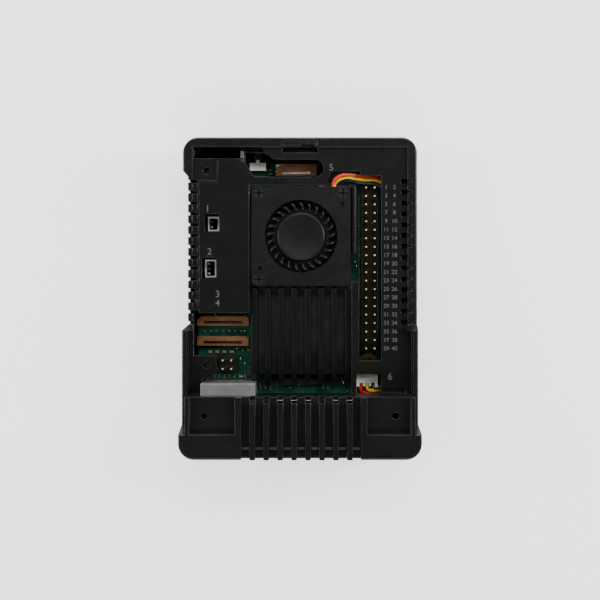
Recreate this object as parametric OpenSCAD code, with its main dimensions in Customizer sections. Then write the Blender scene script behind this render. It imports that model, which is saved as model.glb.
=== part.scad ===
// A credit-card single board computer with its blower cooler, mounted in a
// finned enclosure whose top cover has been lifted off.
// Frame: +X towards the pin header side, +Y towards the memory card end,
// +Z up out of the open top. The origin is below the middle of the case,
// on the surface that the rubber feet stand on.

/* [Board] */
// Width of the circuit board, from the port edge to the header edge
board_w = 56; // [56:1:68]
// Length of the circuit board, from the card edge to the jack edge
board_l = 85; // [85:1:104]
// Thickness of the circuit board
board_t = 1.4; // [1:0.1:2]
// Corner radius of the circuit board
board_corner_r = 3; // [2:0.5:4]
// Distance of the mounting holes from the board's edges
hole_inset = 3.5; // [3.5:0.5:4]
// Distance between the mounting holes along the board
hole_pitch = 58; // [58:1:60]
// Diameter of the mounting holes
hole_d = 2.7; // [2.5:0.1:3.2]

/* [Case] */
// Room between the board's port edge and the case's outer face
port_room = 3.6; // [3.6:0.2:6]
// Room between the board's header edge and the case's outer face
header_room = 10.4; // [10.4:0.2:16]
// Room between the board's card edge and the case's outer face
card_room = 6.5; // [6.5:0.5:12]
// Length by which the jacks stand past the board, flush with the case
jack_overhang = 3; // [2.6:0.2:4]
// Radius of the case's upright corners
case_corner_r = 4.7; // [3.2:0.1:8]
// Thickness of the case's outer walls
wall = 2.9; // [2:0.1:3.4]
// Thickness of the deck round the parts that show
deck_t = 1.6; // [1.2:0.1:2.4]
// Height of the deck's top above the board
deck_rise = 8.6; // [8.2:0.1:11]
// Height of the rim above the deck
rim_rise = 1; // [0.6:0.1:2]
// Height of the raised rim beside the jacks above the deck
side_rim_rise = 3.3; // [2:0.1:4]
// Thickness of the base plate
base_t = 2; // [2:0.1:3]
// Height of the rubber feet below the base plate
foot_h = 1; // [0.6:0.1:2]
// Diameter of the rubber feet
foot_d = 8; // [6:0.5:10]
// Height of the base plate's standoffs
standoff_h = 3; // [2.4:0.1:4]

/* [Jack cover] */
// Distance that the jack cover reaches over the board from its jack edge
cover_reach = 14.95; // [14.95:0.05:17]
// Thickness of the jack cover's roof
roof_t = 1.3; // [1:0.1:2]
// Depth of the channels and pockets in the jack cover
channel_d = 2; // [1:0.1:3]
// Diameter of the hole for the top cover's pin in each pocket
cover_pin_d = 2; // [1.5:0.1:3]

/* [Cooler] */
// Side of the square blower
fan_w = 29.7; // [26:0.1:31]
// Height of the blower
fan_h = 4.6; // [4.2:0.1:5]
// Radius of the air inlet in the blower's lid
inlet_r = 10.95; // [9.5:0.05:11.5]
// Radius of the blower's hub
hub_r = 7.3; // [6:0.1:8]
// Number of impeller blades
blade_count = 25; // [9:1:31]
// Thickness of a cooling fin
fin_t = 1.6; // [1:0.1:2]
// Distance from fin to fin
fin_pitch = 4; // [3:0.1:4.1]
// Number of cooling fins
fin_count = 8; // [4:1:8]
// Height of the cooling fins above the heat sink's plate
fin_h = 3.7; // [2.5:0.1:4.5]
// Thickness of the heat sink's plate
sink_t = 1.2; // [0.8:0.1:1.6]

/* [Connectors] */
// Distance from pin to pin on the headers
pin_pitch = 2.54; // [2.54:0.01:2.6]
// Side of a square header pin
pin_w = 0.64; // [0.5:0.02:0.7]
// Height of the header pins above the board
pin_h = 8.5; // [7:0.1:9]
// Number of pins in each row of the long header
header_rows = 20; // [4:1:20]
// Height of the stacked jacks
stack_h = 16; // [15:0.1:17]
// Width of the stacked jacks
stack_w = 13.1; // [12.6:0.1:13.6]
// Travel of the power button
button_travel = 0.3; // [0.2:0.05:0.4]
// Lift of the ribbon sockets' latches
latch_lift = 0.8; // [0.5:0.1:0.8]
// Diameter of the fan's wires
wire_d = 1; // [0.8:0.05:1]

/* [Hidden] */
$fn = 48;
eps = 0.05;                 // overshoot of cuts past a face
fit_gap = 0.05;             // clearance of close-fitting pieces
part_gap = 0.3;             // clearance round connectors in openings

// Levels, each worked out from the one below it
base_z = foot_h;
case_z = base_z + base_t;
board_z = case_z + standoff_h;
top_z = board_z + board_t;
deck_z = top_z + deck_rise;
rim_z = deck_z + rim_rise;
side_rim_z = deck_z + side_rim_rise;
roof_z = top_z + stack_h + part_gap;
pocket_z = roof_z + roof_t;
case_top = pocket_z + channel_d;

// Outer size of the case, and the board's edges in it
case_w = board_w + port_room + header_room;
case_l = board_l + card_room + jack_overhang;
port_x = -case_w / 2 + port_room;
header_x = port_x + board_w;
card_y = case_l / 2 - card_room;
jack_y = card_y - board_l;
inner_x = case_w / 2 - wall;
inner_y = case_l / 2 - wall;
jack_wall = 2;
jack_face_y = -case_l / 2;

// Mounting holes
hole_r = hole_d / 2;
hole_x = [port_x + hole_inset, header_x - hole_inset];
hole_y = [card_y - hole_inset, card_y - hole_inset - hole_pitch];

// Case screws: two through the board on the port side, two beside it
screw_r = 1;
screw_head_r = 2;
screw_head_h = 1.4;
screw_seat = 1.6;           // depth of the screw head's recess
screw_top = top_z + 5.6;
boss_r = 2.6;
ear_post_r = 2.9;
boss_x = case_w / 2 - 5.7;
screw_places = [[hole_x[0], hole_y[0]], [hole_x[0], hole_y[1]],
                [boss_x, hole_y[0]], [boss_x, hole_y[1]]];
foot_places = [[-20, case_l / 2 - 7.5], [20, case_l / 2 - 7.5],
               [8 - case_w / 2, 7.5 - case_l / 2], [case_w / 2 - 8, 7.5 - case_l / 2]];
foot_seat = 0.5;            // depth of the foot's recess in the base plate

// Cooler: heights, and the middle of the blower
chip_h = 1.9;
pad_t = 0.5;
sink_z = top_z + chip_h + pad_t;
fan_z = sink_z + sink_t;
fan_x = port_x + 31.7;
fan_y = card_y - 22.95;
fin_half = max(fan_w, (fin_count - 1) * fin_pitch + fin_t) / 2;
sink_x0 = fan_x - fin_half - 0.45;
sink_x1 = fan_x + fin_half + 0.25;
sink_y1 = fan_y + fan_w / 2 + 0.3;
rail_w = 1.8;
fin_y1 = fan_y - fan_w / 2 - 0.85;
cover_y = jack_y + cover_reach;      // front face of the jack cover
fin_y0 = cover_y + 1.8;
function fin_x(i) = fan_x + (i - (fin_count - 1) / 2) * fin_pitch;

// Jack cover: a grooved band in line with the fins, a pocket on each side
cover_w = case_w - 3.8;
cover_front_t = 0.7;
band_w = (fin_count + 1) * fin_pitch - fin_t;
band_wall = 1.8;
pocket_x = cover_w / 2 - 1.3;        // outer edge of the pockets
pocket_y = jack_face_y + 7.15;       // the raised end band starts here
pin_hole_x = case_w / 2 - 7.4;
pin_hole_y = cover_y - 5.5;

// Sides: the port side is set back between two shoulders
port_set_back = 1.6;
shoulder_y = [card_y - 5.15, hole_y[1] + 11.95];
vent_count = 14;
vent_pitch = 3.25;
vent_y = card_y - 6.6;               // the vent nearest the card end
vent_w = 1.6;
rib_gap = 0.9;

// Jacks and ports: centre lines and sizes
ethernet_x = port_x + 10.2;
ethernet_w = 16;
ethernet_l = 21.35;
ethernet_h = 13.5;
usb3_x = port_x + 29.1;
usb2_x = port_x + 47;
stack_l = 16.8;
power_port_y = card_y - 11.2;
hdmi_y = [card_y - 25.8, card_y - 39.2];
power_port_w = 8.94;
power_port_h = 3.26;
power_port_l = 7.3;
hdmi_w = 6.6;
hdmi_h = 3;
hdmi_l = 7.6;
port_overhang = 1.35;
metal_t = 0.35;             // sheet metal of the connector shells
header_y = card_y - 32.5;
poe_x = port_x + 9.5;
power_row_y = hole_y[1];

// Ribbon sockets
ribbon_x = port_x + 7.75;
ribbon_w = 15.9;
ribbon_y = [card_y - 48.5, card_y - 54.7];
pcie_x = port_x + 30.35;
pcie_y = card_y - 2.2;
pcie_w = 12.5;
latch_z = top_z + 1.2;
latch_h = 1.2;

// Small sockets for the clock battery and the serial console
rtc_place = [port_x + 5.1, card_y - 18.95];
uart_place = [port_x + 4.2, card_y - 32.5];
small_socket_w = 3.4;
small_socket_h = 4.2;

// Power switch, its plunger and the case button in line with it
switch_x = port_x + 18.45;
switch_w = 5;
switch_l = 2.4;
press_z = top_z + 1;
plunger_tip_y = card_y + 1;
light_x = port_x + 13.85;

// Fan connector and wires
plug_x = header_x - 4.15;
plug_y = cover_y + 3.35;
plug_w = 6.5;
plug_l = 3.4;
plug_z = top_z + 2.2;
wire_pitch = 1.8;

case_black = [0.11, 0.11, 0.11];
fan_black = [0.13, 0.13, 0.14];
plastic_black = [0.08, 0.08, 0.08];
board_green = [0.05, 0.22, 0.15];
steel = [0.72, 0.73, 0.74];
gold = [0.86, 0.72, 0.4];
latch_brown = [0.36, 0.2, 0.11];
socket_white = [0.88, 0.88, 0.84];

// ---------------------------------------------------------------- helpers

// Rectangle about the origin with true round corners
module round_rect(w, l, r) {
    square([w - 2 * r, l], center = true);
    square([w, l - 2 * r], center = true);
    for (x = [r - w / 2, w / 2 - r], y = [r - l / 2, l / 2 - r])
        translate([x, y]) circle(r);
}

// Box between two corners
module span(low, high) {
    translate(low) cube(high - low);
}

// Upright plate with the outline of the child shape between two levels
module plate(z0, z1) {
    translate([0, 0, z0]) linear_extrude(z1 - z0) children();
}

// Box that stands on a level, centred in X and Y on a place
module block(place, size, z) {
    translate([place[0] - size[0] / 2, place[1] - size[1] / 2, z]) cube(size);
}

// Outline in Y and Z drawn as X and Y, made solid from x0 to x1
module side_slab(x0, x1) {
    translate([x0, 0, 0]) rotate([90, 0, 90]) linear_extrude(x1 - x0) children();
}

// Outline in X and Z drawn as X and Y, made solid from y0 to y1
module end_slab(y0, y1) {
    translate([0, y1, 0]) rotate([90, 0, 0]) linear_extrude(y1 - y0) children();
}

// Round tube of short straight runs along a list of points
function unit(v) = v / norm(v);
function run(p, i) = unit(p[min(i + 1, len(p) - 1)] - p[max(i - 1, 0)]);
function side_of(t) = unit(cross(t, abs(t[2]) > 0.9 ? [1, 0, 0] : [0, 0, 1]));
module wire(p, d, sides = 8) {
    rings = [for (i = [0 : len(p) - 1])
        let (t = run(p, i), u = side_of(t), v = cross(u, t))
        for (k = [0 : sides - 1])
            p[i] + d / 2 * (cos(360 * k / sides) * u + sin(360 * k / sides) * v)];
    walls = [for (i = [0 : len(p) - 2], k = [0 : sides - 1])
        let (n = (k + 1) % sides)
        [i * sides + k, i * sides + n, (i + 1) * sides + n, (i + 1) * sides + k]];
    first = [for (k = [sides - 1 : -1 : 0]) k];
    last = [for (k = [0 : sides - 1]) (len(p) - 1) * sides + k];
    polyhedron(rings, concat(walls, [first, last]), convexity = 10);
}

// ------------------------------------------------------------------- case

module case_outline() {
    round_rect(case_w, case_l, case_corner_r);
}

// The port side stands back between its shoulders, with sloping ends
module port_side_cut() {
    x0 = -case_w / 2;
    x1 = x0 + port_set_back;
    slope = port_set_back;
    polygon([[x0 - 1, shoulder_y[0] + slope + 1], [x0, shoulder_y[0] + slope],
             [x1, shoulder_y[0]], [x1, shoulder_y[1]],
             [x0, shoulder_y[1] - slope], [x0 - 1, shoulder_y[1] - slope - 1]]);
}

// Height of the outer walls along the case
module side_outline() {
    y1 = case_l / 2;
    rise_y = shoulder_y[1];
    polygon([[y1, case_z], [y1, rim_z], [rise_y, rim_z],
             [rise_y - port_set_back, side_rim_z],
             [pocket_y + 1.9, side_rim_z], [pocket_y, case_top],
             [-y1, case_top], [-y1, case_z]]);
}

// Openings in the deck over the fan, the fins and the connectors
module deck_windows() {
    right = header_x - 0.3;
    fin_left = fan_x - fin_half - 0.65;
    fin_right = fan_x + fin_half + 0.3;
    // fan, fins, rail and pin header
    translate([fin_left, cover_y]) square([fin_right - fin_left, fan_y + fan_w / 2 + 0.35 - cover_y]);
    translate([fin_right - 1, fin_y1 + 2]) square([right - fin_right + 1, 29.8]);
    translate([header_x - 7, header_y - 27.75]) square([right - header_x + 7, 55.3]);
    // notch that the fan's wires pass
    translate([fan_x + 8.3, fan_y + fan_w / 2]) square([9.4, 2.2]);
    translate([fan_x + 10.6, fan_y + fan_w / 2]) square([7.1, 4.6]);
    translate([fan_x + 10.6, fan_y + fan_w / 2 + 2.3]) circle(2.3);
    // fan connector
    translate([header_x - 7.7, cover_y]) square([right - header_x + 7.7, 5.7]);
    // camera sockets and pole of the power header
    difference() {
        translate([port_x - 0.4, cover_y])
            square([fin_left - port_x + 0.4 + eps, ribbon_y[0] + 2.55 - cover_y]);
        lower_ear();
        translate([port_x - 1, cover_y - 1]) square([3.2, 5.5]);
    }
    // clearance round the small sockets
    translate(rtc_place) square([small_socket_w + 1, 5.4], center = true);
    translate(uart_place) square([small_socket_w + 1, 6.4], center = true);
    card_end_window();
    // notch in front of the cover's catch
    translate([-5.3, inner_y - 1.6]) square([10.6, 1.7]);
}

// Square lug round the lower case screw, with one corner cut away
module lower_ear() {
    x = hole_x[0];
    y = hole_y[1];
    polygon([[port_x - 1, y + 2.75], [x + 2.3, y + 2.75], [x + 2.8, y + 2.25],
             [x + 2.8, y - 2.4], [x + 1.2, y - 4.05], [port_x - 1, y - 4.05]]);
}

// One opening over the power switch, the expansion socket and the button
module card_end_window() {
    left = port_x - 0.3;
    right = pcie_x + 8.1;
    bottom = card_y - 5.25;
    end_r = (card_y - bottom) / 2;
    difference() {
        union() {
            translate([left, card_y + 0.25]) square([switch_x + 1.55 - left, inner_y - card_y]);
            polygon([[light_x - 0.9, card_y + 0.3], [switch_x + 1.55, inner_y],
                     [switch_x + 2.7, card_y + 1.65], [switch_x + 3.8, card_y + 1.25],
                     [switch_x + 4.9, card_y], [right - end_r, card_y],
                     [right - end_r, bottom], [switch_x - 0.9, bottom],
                     [switch_x - 2.9, card_y - 1.65]]);
            translate([right - end_r, card_y - end_r]) circle(end_r);
        }
        translate([left - 1, inner_y]) square([60, 5]);
    }
}

// Groove round the upper screw's lug, 0.4 mm wide
module upper_ear_groove() {
    x = hole_x[0];
    y = hole_y[0];
    difference() {
        translate([-inner_x, y - 3.3]) square([x + 3.3 + inner_x, 6.4]);
        translate([-inner_x - 1, y - 2.9]) square([x + 2.9 + inner_x + 1, 7]);
    }
}

// Walls, deck and jack cover as one solid block, before it is hollowed
module case_block() {
    difference() {
        intersection() {
            plate(case_z, case_top) case_outline();
            side_slab(-case_w, case_w) side_outline();
        }
        // recess inside the rim, down to the deck
        span([-inner_x, cover_y, deck_z], [inner_x, inner_y, case_top + 1]);
        span([port_set_back - case_w / 2, pocket_y, deck_z],
             [case_w / 2 - port_set_back, shoulder_y[1] - port_set_back, case_top + 1]);
    }
    span([-cover_w / 2, pocket_y - 1, deck_z - deck_t], [cover_w / 2, cover_y, case_top]);
}

module case_hollow() {
    deck_bottom = deck_z - deck_t;
    cover_inner = cover_w / 2 - 1.5;
    difference() {
        span([-inner_x, jack_face_y + jack_wall, case_z - eps], [inner_x, inner_y, deck_bottom]);
        // bosses under the deck that hold the case screws
        for (p = screw_places)
            translate([p[0], p[1], p[0] < 0 ? top_z : case_z - eps])
                cylinder(h = case_top, r = p[0] < 0 ? ear_post_r : boss_r);
        // rib across the corner by the card end
        translate([-inner_x, inner_y - 2.6, top_z]) rotate(45) cube([3.6, 0.9, 20]);
    }
    span([-cover_inner, jack_face_y + jack_wall, deck_bottom - 1],
         [cover_inner, cover_y - cover_front_t, roof_z]);
    plate(deck_bottom - eps, deck_z + eps) deck_windows();
}

// Threaded holes that the case screws run up into
module screw_holes() {
    for (p = screw_places)
        translate([p[0], p[1], case_z - 1])
            cylinder(h = p[0] < 0 ? 40 : screw_top + 0.6 - case_z + 1, r = screw_r + fit_gap);
}

module port_openings() {
    x0 = -case_w / 2 - 1;
    x1 = 1.5 - inner_x;
    z0 = case_z - 1;
    // power and display ports on the port side
    half = [power_port_w / 2 + 0.4, hdmi_w / 2 + 0.4, hdmi_w / 2 + 0.4];
    high = [power_port_h + 0.4, hdmi_h + 0.4, hdmi_h + 0.4];
    middle = [power_port_y, hdmi_y[0], hdmi_y[1]];
    for (i = [0 : 2])
        span([x0, middle[i] - half[i], z0], [x1, middle[i] + half[i], top_z + high[i]]);
    // jacks at the far end
    for (j = jack_openings())
        span([j[0] - j[1] / 2, jack_face_y - 1, z0],
             [j[0] + j[1] / 2, jack_face_y + jack_wall + eps, top_z + j[2]]);
    // the network jack stands through the cover's front wall
    span([ethernet_x - ethernet_w / 2 - part_gap, cover_y - 1, z0],
         [ethernet_x + ethernet_w / 2 + part_gap, cover_y + eps, top_z + ethernet_h + part_gap]);
    // memory card slot at the card end
    span([card_slot_x() - 7, inner_y - eps, z0], [card_slot_x() + 7, case_l / 2 + 1, board_z + 0.3]);
}

// Centre, width and height of each opening at the jack end
function jack_openings() = [
    [ethernet_x, ethernet_w + 2 * part_gap, ethernet_h + part_gap],
    [usb3_x, stack_w + 2 * part_gap, stack_h + part_gap],
    [usb2_x, stack_w + 2 * part_gap, stack_h + part_gap]];
function card_slot_x() = port_x + 28;

// Rows of slots down both sides
module side_vents() {
    for (i = [0 : vent_count - 1]) {
        y = vent_y - i * vent_pitch;
        // header side: wall, deck and a thin line over the rim
        span([inner_x - eps, y - vent_w / 2, board_z], [case_w / 2 + 1, y + vent_w / 2, deck_z - 3]);
        span([inner_x - 1.8, y - vent_w / 2, deck_z - deck_t - eps],
             [inner_x + 0.1, y + vent_w / 2, deck_z + eps]);
        span([inner_x, y - 0.25, deck_z], [inner_x + 1.4, y + 0.25, rim_z + 1]);
        // port side: gaps between the ribs
        span([-case_w / 2 - 1, y - rib_gap / 2, deck_z - 3.5],
             [port_set_back + 2.8 - case_w / 2, y + rib_gap / 2, deck_z + 2]);
    }
}

// Grooved band and pockets in the top of the jack cover
module cover_relief() {
    above = case_top + 1;
    x0 = fan_x - band_w / 2;
    x1 = fan_x + band_w / 2;
    difference() {
        union() {
            span([x0, jack_face_y - 1, pocket_z], [x1, cover_y + 1, above]);
            span([x0, jack_face_y - 1, pocket_z - 0.5], [x1, jack_face_y + 3.25, above]);
            span([x0, jack_face_y - 1, pocket_z - 1], [x1, jack_face_y + 0.4, above]);
        }
        for (i = [0 : fin_count - 1])
            span([fin_x(i) - fin_t / 2, jack_face_y - 2, pocket_z - 2],
                 [fin_x(i) + fin_t / 2, cover_y - 1.7, above]);
    }
    // openings where the fins' air passes under the cover
    for (i = [0 : fin_count - 1])
        span([fin_x(i) - fin_t / 2, cover_y - 1.7, pocket_z - 3], [fin_x(i) + fin_t / 2, cover_y + 1, above]);
    for (x = [[-pocket_x, x0 - band_wall], [x1 + band_wall, pocket_x]])
        span([x[0], pocket_y, pocket_z], [x[1], cover_y + 1, above]);
    for (x = [-pin_hole_x, pin_hole_x])
        translate([x, pin_hole_y, roof_z - 1]) cylinder(h = 10, r = cover_pin_d / 2);
}

module upper_case() {
    color(case_black) difference() {
        case_block();
        case_hollow();
        screw_holes();
        port_openings();
        side_vents();
        cover_relief();
        plate(case_z - 1, case_top + 1) port_side_cut();
        plate(deck_z - 0.4, deck_z + eps) upper_ear_groove();
        // groove beside the port side's ribs, and the step in front of the jack cover
        span([3.2 + port_set_back - case_w / 2 - 0.4, shoulder_y[1] + 3.5, deck_z - 0.5],
             [3.2 + port_set_back - case_w / 2, shoulder_y[0] - 1.6, deck_z + 1]);
        span([header_x - 0.3, cover_y, deck_z - 0.8], [inner_x - 0.5, cover_y + 1.5, deck_z + 1]);
        // seat of the cover's catch in the rim
        span([-5.3, inner_y - 0.2, deck_z - 2.4], [5.3, inner_y + 1.9, rim_z + 1]);
        // case button and light pipe at the card end
        translate([switch_x, inner_y - 1, press_z]) rotate([-90, 0, 0]) cylinder(h = 6, r = 2.2);
        translate([light_x, inner_y - 1, press_z]) rotate([-90, 0, 0]) cylinder(h = 6, r = 0.85);
    }
}

// Strips of the base plate that close the wall below each connector
module base_tongues() {
    gap = 0.15;
    top = top_z - 0.2;
    for (j = jack_openings())
        span([j[0] - j[1] / 2 + gap, jack_face_y, case_z - eps],
             [j[0] + j[1] / 2 - gap, jack_face_y + jack_wall, board_z - gap]);
    x0 = port_set_back - case_w / 2;
    for (p = [[power_port_y, power_port_w], [hdmi_y[0], hdmi_w], [hdmi_y[1], hdmi_w]])
        span([x0, p[0] - p[1] / 2 - 0.4 + gap, case_z - eps],
             [-inner_x, p[0] + p[1] / 2 + 0.4 - gap, top]);
}

module base_plate() {
    color(case_black) difference() {
        union() {
            plate(base_z, case_z) difference() {
                case_outline();
                port_side_cut();
            }
            base_tongues();
            for (x = hole_x, y = hole_y)
                translate([x, y, case_z - eps]) cylinder(h = standoff_h + eps, r = 3);
            for (y = hole_y)
                translate([hole_x[1], y, board_z - eps]) cylinder(h = board_t + 0.6, r = hole_r - 0.1);
        }
        for (p = screw_places) translate([p[0], p[1], base_z - 1]) {
            cylinder(h = 20, r = screw_r + 0.15);
            cylinder(h = 1 + screw_seat, r = screw_head_r + 0.2);
        }
        for (p = foot_places)
            translate([p[0], p[1], base_z - 1]) cylinder(h = 1 + foot_seat, r = foot_d / 2 + fit_gap);
        // air slots under the board
        for (i = [-2.5 : 2.5]) translate([i * 5.5, 4, base_z - 1]) {
            translate([-1, -12, 0]) cube([2, 24, 5]);
            for (y = [-12, 12]) translate([0, y, 0]) cylinder(h = 5, r = 1);
        }
        // finger notch at the memory card slot
        translate([card_slot_x(), case_l / 2 + 3, base_z - 1]) cylinder(h = 5, r = 6.5);
    }
}

module rubber_feet() {
    color(plastic_black)
        for (p = foot_places) translate([p[0], p[1], 0]) cylinder(h = foot_h + foot_seat, r = foot_d / 2);
}

// Pan head screws with a cross recess, driven from below
module case_screws() {
    seat_z = base_z + screw_seat;
    color(steel) for (p = screw_places) translate([p[0], p[1], seat_z - screw_head_h]) difference() {
        union() {
            cylinder(h = screw_head_h, r = screw_head_r);
            cylinder(h = screw_top - seat_z + screw_head_h, r = screw_r);
        }
        for (a = [0, 90]) rotate(a) translate([-1.1, -0.25, -1]) cube([2.2, 0.5, 1.8]);
    }
}

// Spring catch in the rim that the missing top cover snaps on
module cover_catch() {
    color(case_black) difference() {
        span([-5.15, inner_y + 0.05, deck_z - 2.4], [5.15, inner_y + 1.75, rim_z - 0.1]);
        span([0.4, inner_y - 1, deck_z - 0.9], [4.6, inner_y + 0.9, rim_z + 1]);
        span([-4.6, inner_y - 1, deck_z], [0.5, inner_y + 0.5, rim_z + 1]);
    }
}

module power_button() {
    flange_y = inner_y - 0.75;
    color(case_black) {
        translate([switch_x, inner_y - 0.3, press_z]) rotate([-90, 0, 0]) cylinder(h = wall + 0.25, r = 2);
        span([switch_x - 3.6, flange_y, press_z - 2.4], [switch_x + 2.6, inner_y - 0.05, press_z + 2.4]);
        span([switch_x - 0.9, plunger_tip_y + fit_gap, press_z - 0.8],
             [switch_x + 0.9, flange_y + eps, press_z + 1.2]);
    }
}

// Rod that carries the status light to the case's end face
module light_pipe() {
    color([0.8, 0.82, 0.82]) {
        translate([light_x, card_y + 0.2, press_z]) rotate([-90, 0, 0])
            cylinder(h = case_l / 2 - card_y - 0.3, r = 0.8);
        span([light_x - 0.4, card_y + 0.9, press_z], [light_x + 0.4, inner_y - 0.6, deck_z - 2.4]);
    }
}

// ------------------------------------------------------------------ board

module circuit_board() {
    middle = [(port_x + header_x) / 2, (card_y + jack_y) / 2];
    color(board_green) difference() {
        translate([middle[0], middle[1], board_z]) linear_extrude(board_t)
            round_rect(board_w, board_l, board_corner_r);
        for (x = hole_x, y = hole_y)
            translate([x, y, board_z - 1]) cylinder(h = board_t + 2, r = hole_r);
    }
}

chip_place = [port_x + 30.5, card_y - 28.5];
memory_place = [port_x + 30.5, card_y - 45.5];
module processor_substrate() {
    color(board_green) block(chip_place, [17, 17, 0.9], top_z);
}
module processor_lid() {
    color(steel) block(chip_place, [14.5, 14.5, chip_h - 0.9], top_z + 0.9);
}
module thermal_pad() {
    color([0.55, 0.6, 0.65]) block(chip_place, [14, 14, pad_t], top_z + chip_h);
}
module memory_chip() {
    color(plastic_black) block(memory_place, [12.4, 15, 1], top_z);
}
module io_controller() {
    color(plastic_black) block([port_x + 31, jack_y + 23.5], [13, 13, 1.2], top_z);
}
module power_chip() {
    color(plastic_black) block([port_x + 12.5, card_y - 21], [7, 7, 0.9], top_z);
}

module wireless_can() {
    color(steel) difference() {
        block([header_x - 13.2, card_y - 11.2], [11, 10, 1.5], top_z);
        block([header_x - 13.2, card_y - 11.2], [10.6, 9.6, 1.3], top_z - eps);
    }
}

module small_chips() {
    color(plastic_black) {
        block([port_x + 12, card_y - 44.3], [5, 4, 1.3], top_z);
        block([port_x + 11.5, card_y - 9], [4, 4, 1], top_z);
        block([port_x + 17.2, jack_y + 21.2], [4, 3, 1.1], top_z);
        block([port_x + 42.5, card_y - 50], [5, 4, 1.2], top_z);
        block([port_x + 10.5, card_y - 34.5], [3, 3, 0.9], top_z);
    }
}

module inductors() {
    color([0.3, 0.3, 0.31]) {
        for (i = [0 : 3]) block([port_x + 12.5 + (i % 2) * 4, card_y - 30 + floor(i / 2) * 3.4],
                                [2.6, 2.6, 1.6], top_z);
        block([port_x + 12, card_y - 40], [4, 4, 1.8], top_z);
    }
}

module capacitors() {
    color([0.62, 0.54, 0.4]) {
        for (i = [0 : 4]) block([port_x + 11.3 + i * 2, card_y - 15.5], [1, 1.8, 0.9], top_z);
        for (i = [0 : 3]) block([port_x + 3.6 + i * 2.2, card_y - 58.1], [1.3, 0.8, 0.7], top_z);
        for (i = [0 : 3]) block([header_x - 10.4, card_y - 38 - i * 2.4], [0.8, 1.6, 0.7], top_z);
        for (i = [0 : 2]) block([port_x + 22.4, card_y - 4.3 + i * 1.1], [1.1, 0.6, 0.6], top_z);
    }
}

// ----------------------------------------------------------------- cooler

// Side view of a fin, its top curving down in front of the jack cover
module fin_outline() {
    fin_top = fan_z + fin_h;
    drop = 3.2;
    slope_l = 6;
    polygon(concat([[fin_y0, sink_z], [fin_y1, sink_z], [fin_y1, fin_top]],
                   [for (a = [0 : 15 : 90])
                       [fin_y0 + slope_l - slope_l * sin(a), fin_top - drop + drop * cos(a)]]));
}

module heat_sink() {
    color(case_black) difference() {
        union() {
            span([sink_x0, fin_y0 + 3.5, sink_z], [sink_x1, sink_y1, fan_z]);
            for (i = [0 : fin_count - 1])
                side_slab(fin_x(i) - fin_t / 2, fin_x(i) + fin_t / 2) fin_outline();
            // rail beside the fan, with a round top
            span([sink_x1 - eps, fan_y - 5.3, sink_z], [sink_x1 + rail_w, sink_y1, fan_z + fin_h - 0.9]);
            translate([sink_x1 + rail_w / 2, fan_y - 5.3, fan_z + fin_h - 0.9]) rotate([-90, 0, 0])
                cylinder(h = sink_y1 - fan_y + 5.3, r = rail_w / 2);
        }
        // the network jack's back corner
        span([ethernet_x - 20, fin_y0 - 1, sink_z - 1],
             [ethernet_x + ethernet_w / 2 + part_gap, jack_face_y + ethernet_l + part_gap, 40]);
        for (p = fan_screw_places())
            translate([p[0], p[1], sink_z - 1]) cylinder(h = 6, r = 0.75);
    }
}

function fan_screw_places() = [for (p = [[-1, 1], [1, 1], [-1, -1]])
    [fan_x + p[0] * (fan_w / 2 - 2.2), fan_y + p[1] * (fan_w / 2 - 1.9)]];

fan_wall = 1.2;
fan_floor = 0.8;
lid_t = 0.7;
lid_z = fan_z + fan_h - lid_t;
rotor_gap = 0.3;
rotor_z = fan_z + fan_floor + rotor_gap;
impeller_r = fan_w / 2 - 2.85;
disc_t = 0.4;
blade_r0 = 8.2;
shaft_r = 0.75;
bearing_r = 1.5;
cup_t = 0.6;

// Plan of the space that the impeller turns in, open at the outlet
module scroll_plan() {
    circle(impeller_r + 0.9);
    translate([0.6 - impeller_r, -fan_w]) square([2 * impeller_r - 0.9, fan_w]);
}

module fan_housing() {
    color(fan_black) translate([fan_x, fan_y, 0]) difference() {
        plate(fan_z, lid_z) round_rect(fan_w, fan_w, 1);
        plate(fan_z + fan_floor, lid_z + 1) intersection() {
            scroll_plan();
            translate([0, -fan_wall]) square([fan_w - 2 * fan_wall, fan_w + eps], center = true);
        }
        // seat of the bearing, and the fan screws' holes
        translate([0, 0, fan_z - 1]) cylinder(h = 3, r = bearing_r);
        for (p = fan_screw_places())
            translate([p[0] - fan_x, p[1] - fan_y, fan_z - 1]) cylinder(h = 10, r = 0.75);
    }
}

module fan_lid() {
    color(fan_black) translate([fan_x, fan_y, 0]) difference() {
        plate(lid_z, lid_z + lid_t) difference() {
            round_rect(fan_w, fan_w, 1);
            circle(inlet_r, $fn = 96);
            // small three-cornered vents in two corners
            for (a = [0, 180]) rotate(a) translate([fan_w / 2 - 2.6, fan_w / 2 - 5.3])
                polygon([[-0.8, 0.7], [0.7, 0.7], [0.7, -0.2], [0.2, -0.8]]);
        }
        for (p = fan_screw_places())
            translate([p[0] - fan_x, p[1] - fan_y, lid_z - 1]) {
                cylinder(h = 5, r = 0.8);
                translate([0, 0, 1.3]) cylinder(h = 5, r = 1.75);
            }
    }
}

module fan_screws() {
    color(fan_black) for (p = fan_screw_places()) translate([p[0], p[1], 0]) difference() {
        union() {
            translate([0, 0, sink_z + 0.1]) cylinder(h = lid_z + 0.3 - sink_z - 0.1, r = 0.7);
            translate([0, 0, lid_z + 0.3]) cylinder(h = lid_t - 0.35, r = 1.7);
        }
        for (a = [0, 90]) rotate(a) translate([-1.6, -0.25, lid_z + 0.4]) cube([3.2, 0.5, 2]);
    }
}

// Sleeve in the middle of the housing that the shaft turns in
module fan_bearing() {
    color(gold) translate([fan_x, fan_y, fan_z]) difference() {
        cylinder(h = 2.9, r = bearing_r);
        translate([0, 0, 0.3]) cylinder(h = 5, r = shaft_r + 0.03);
    }
}

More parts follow.
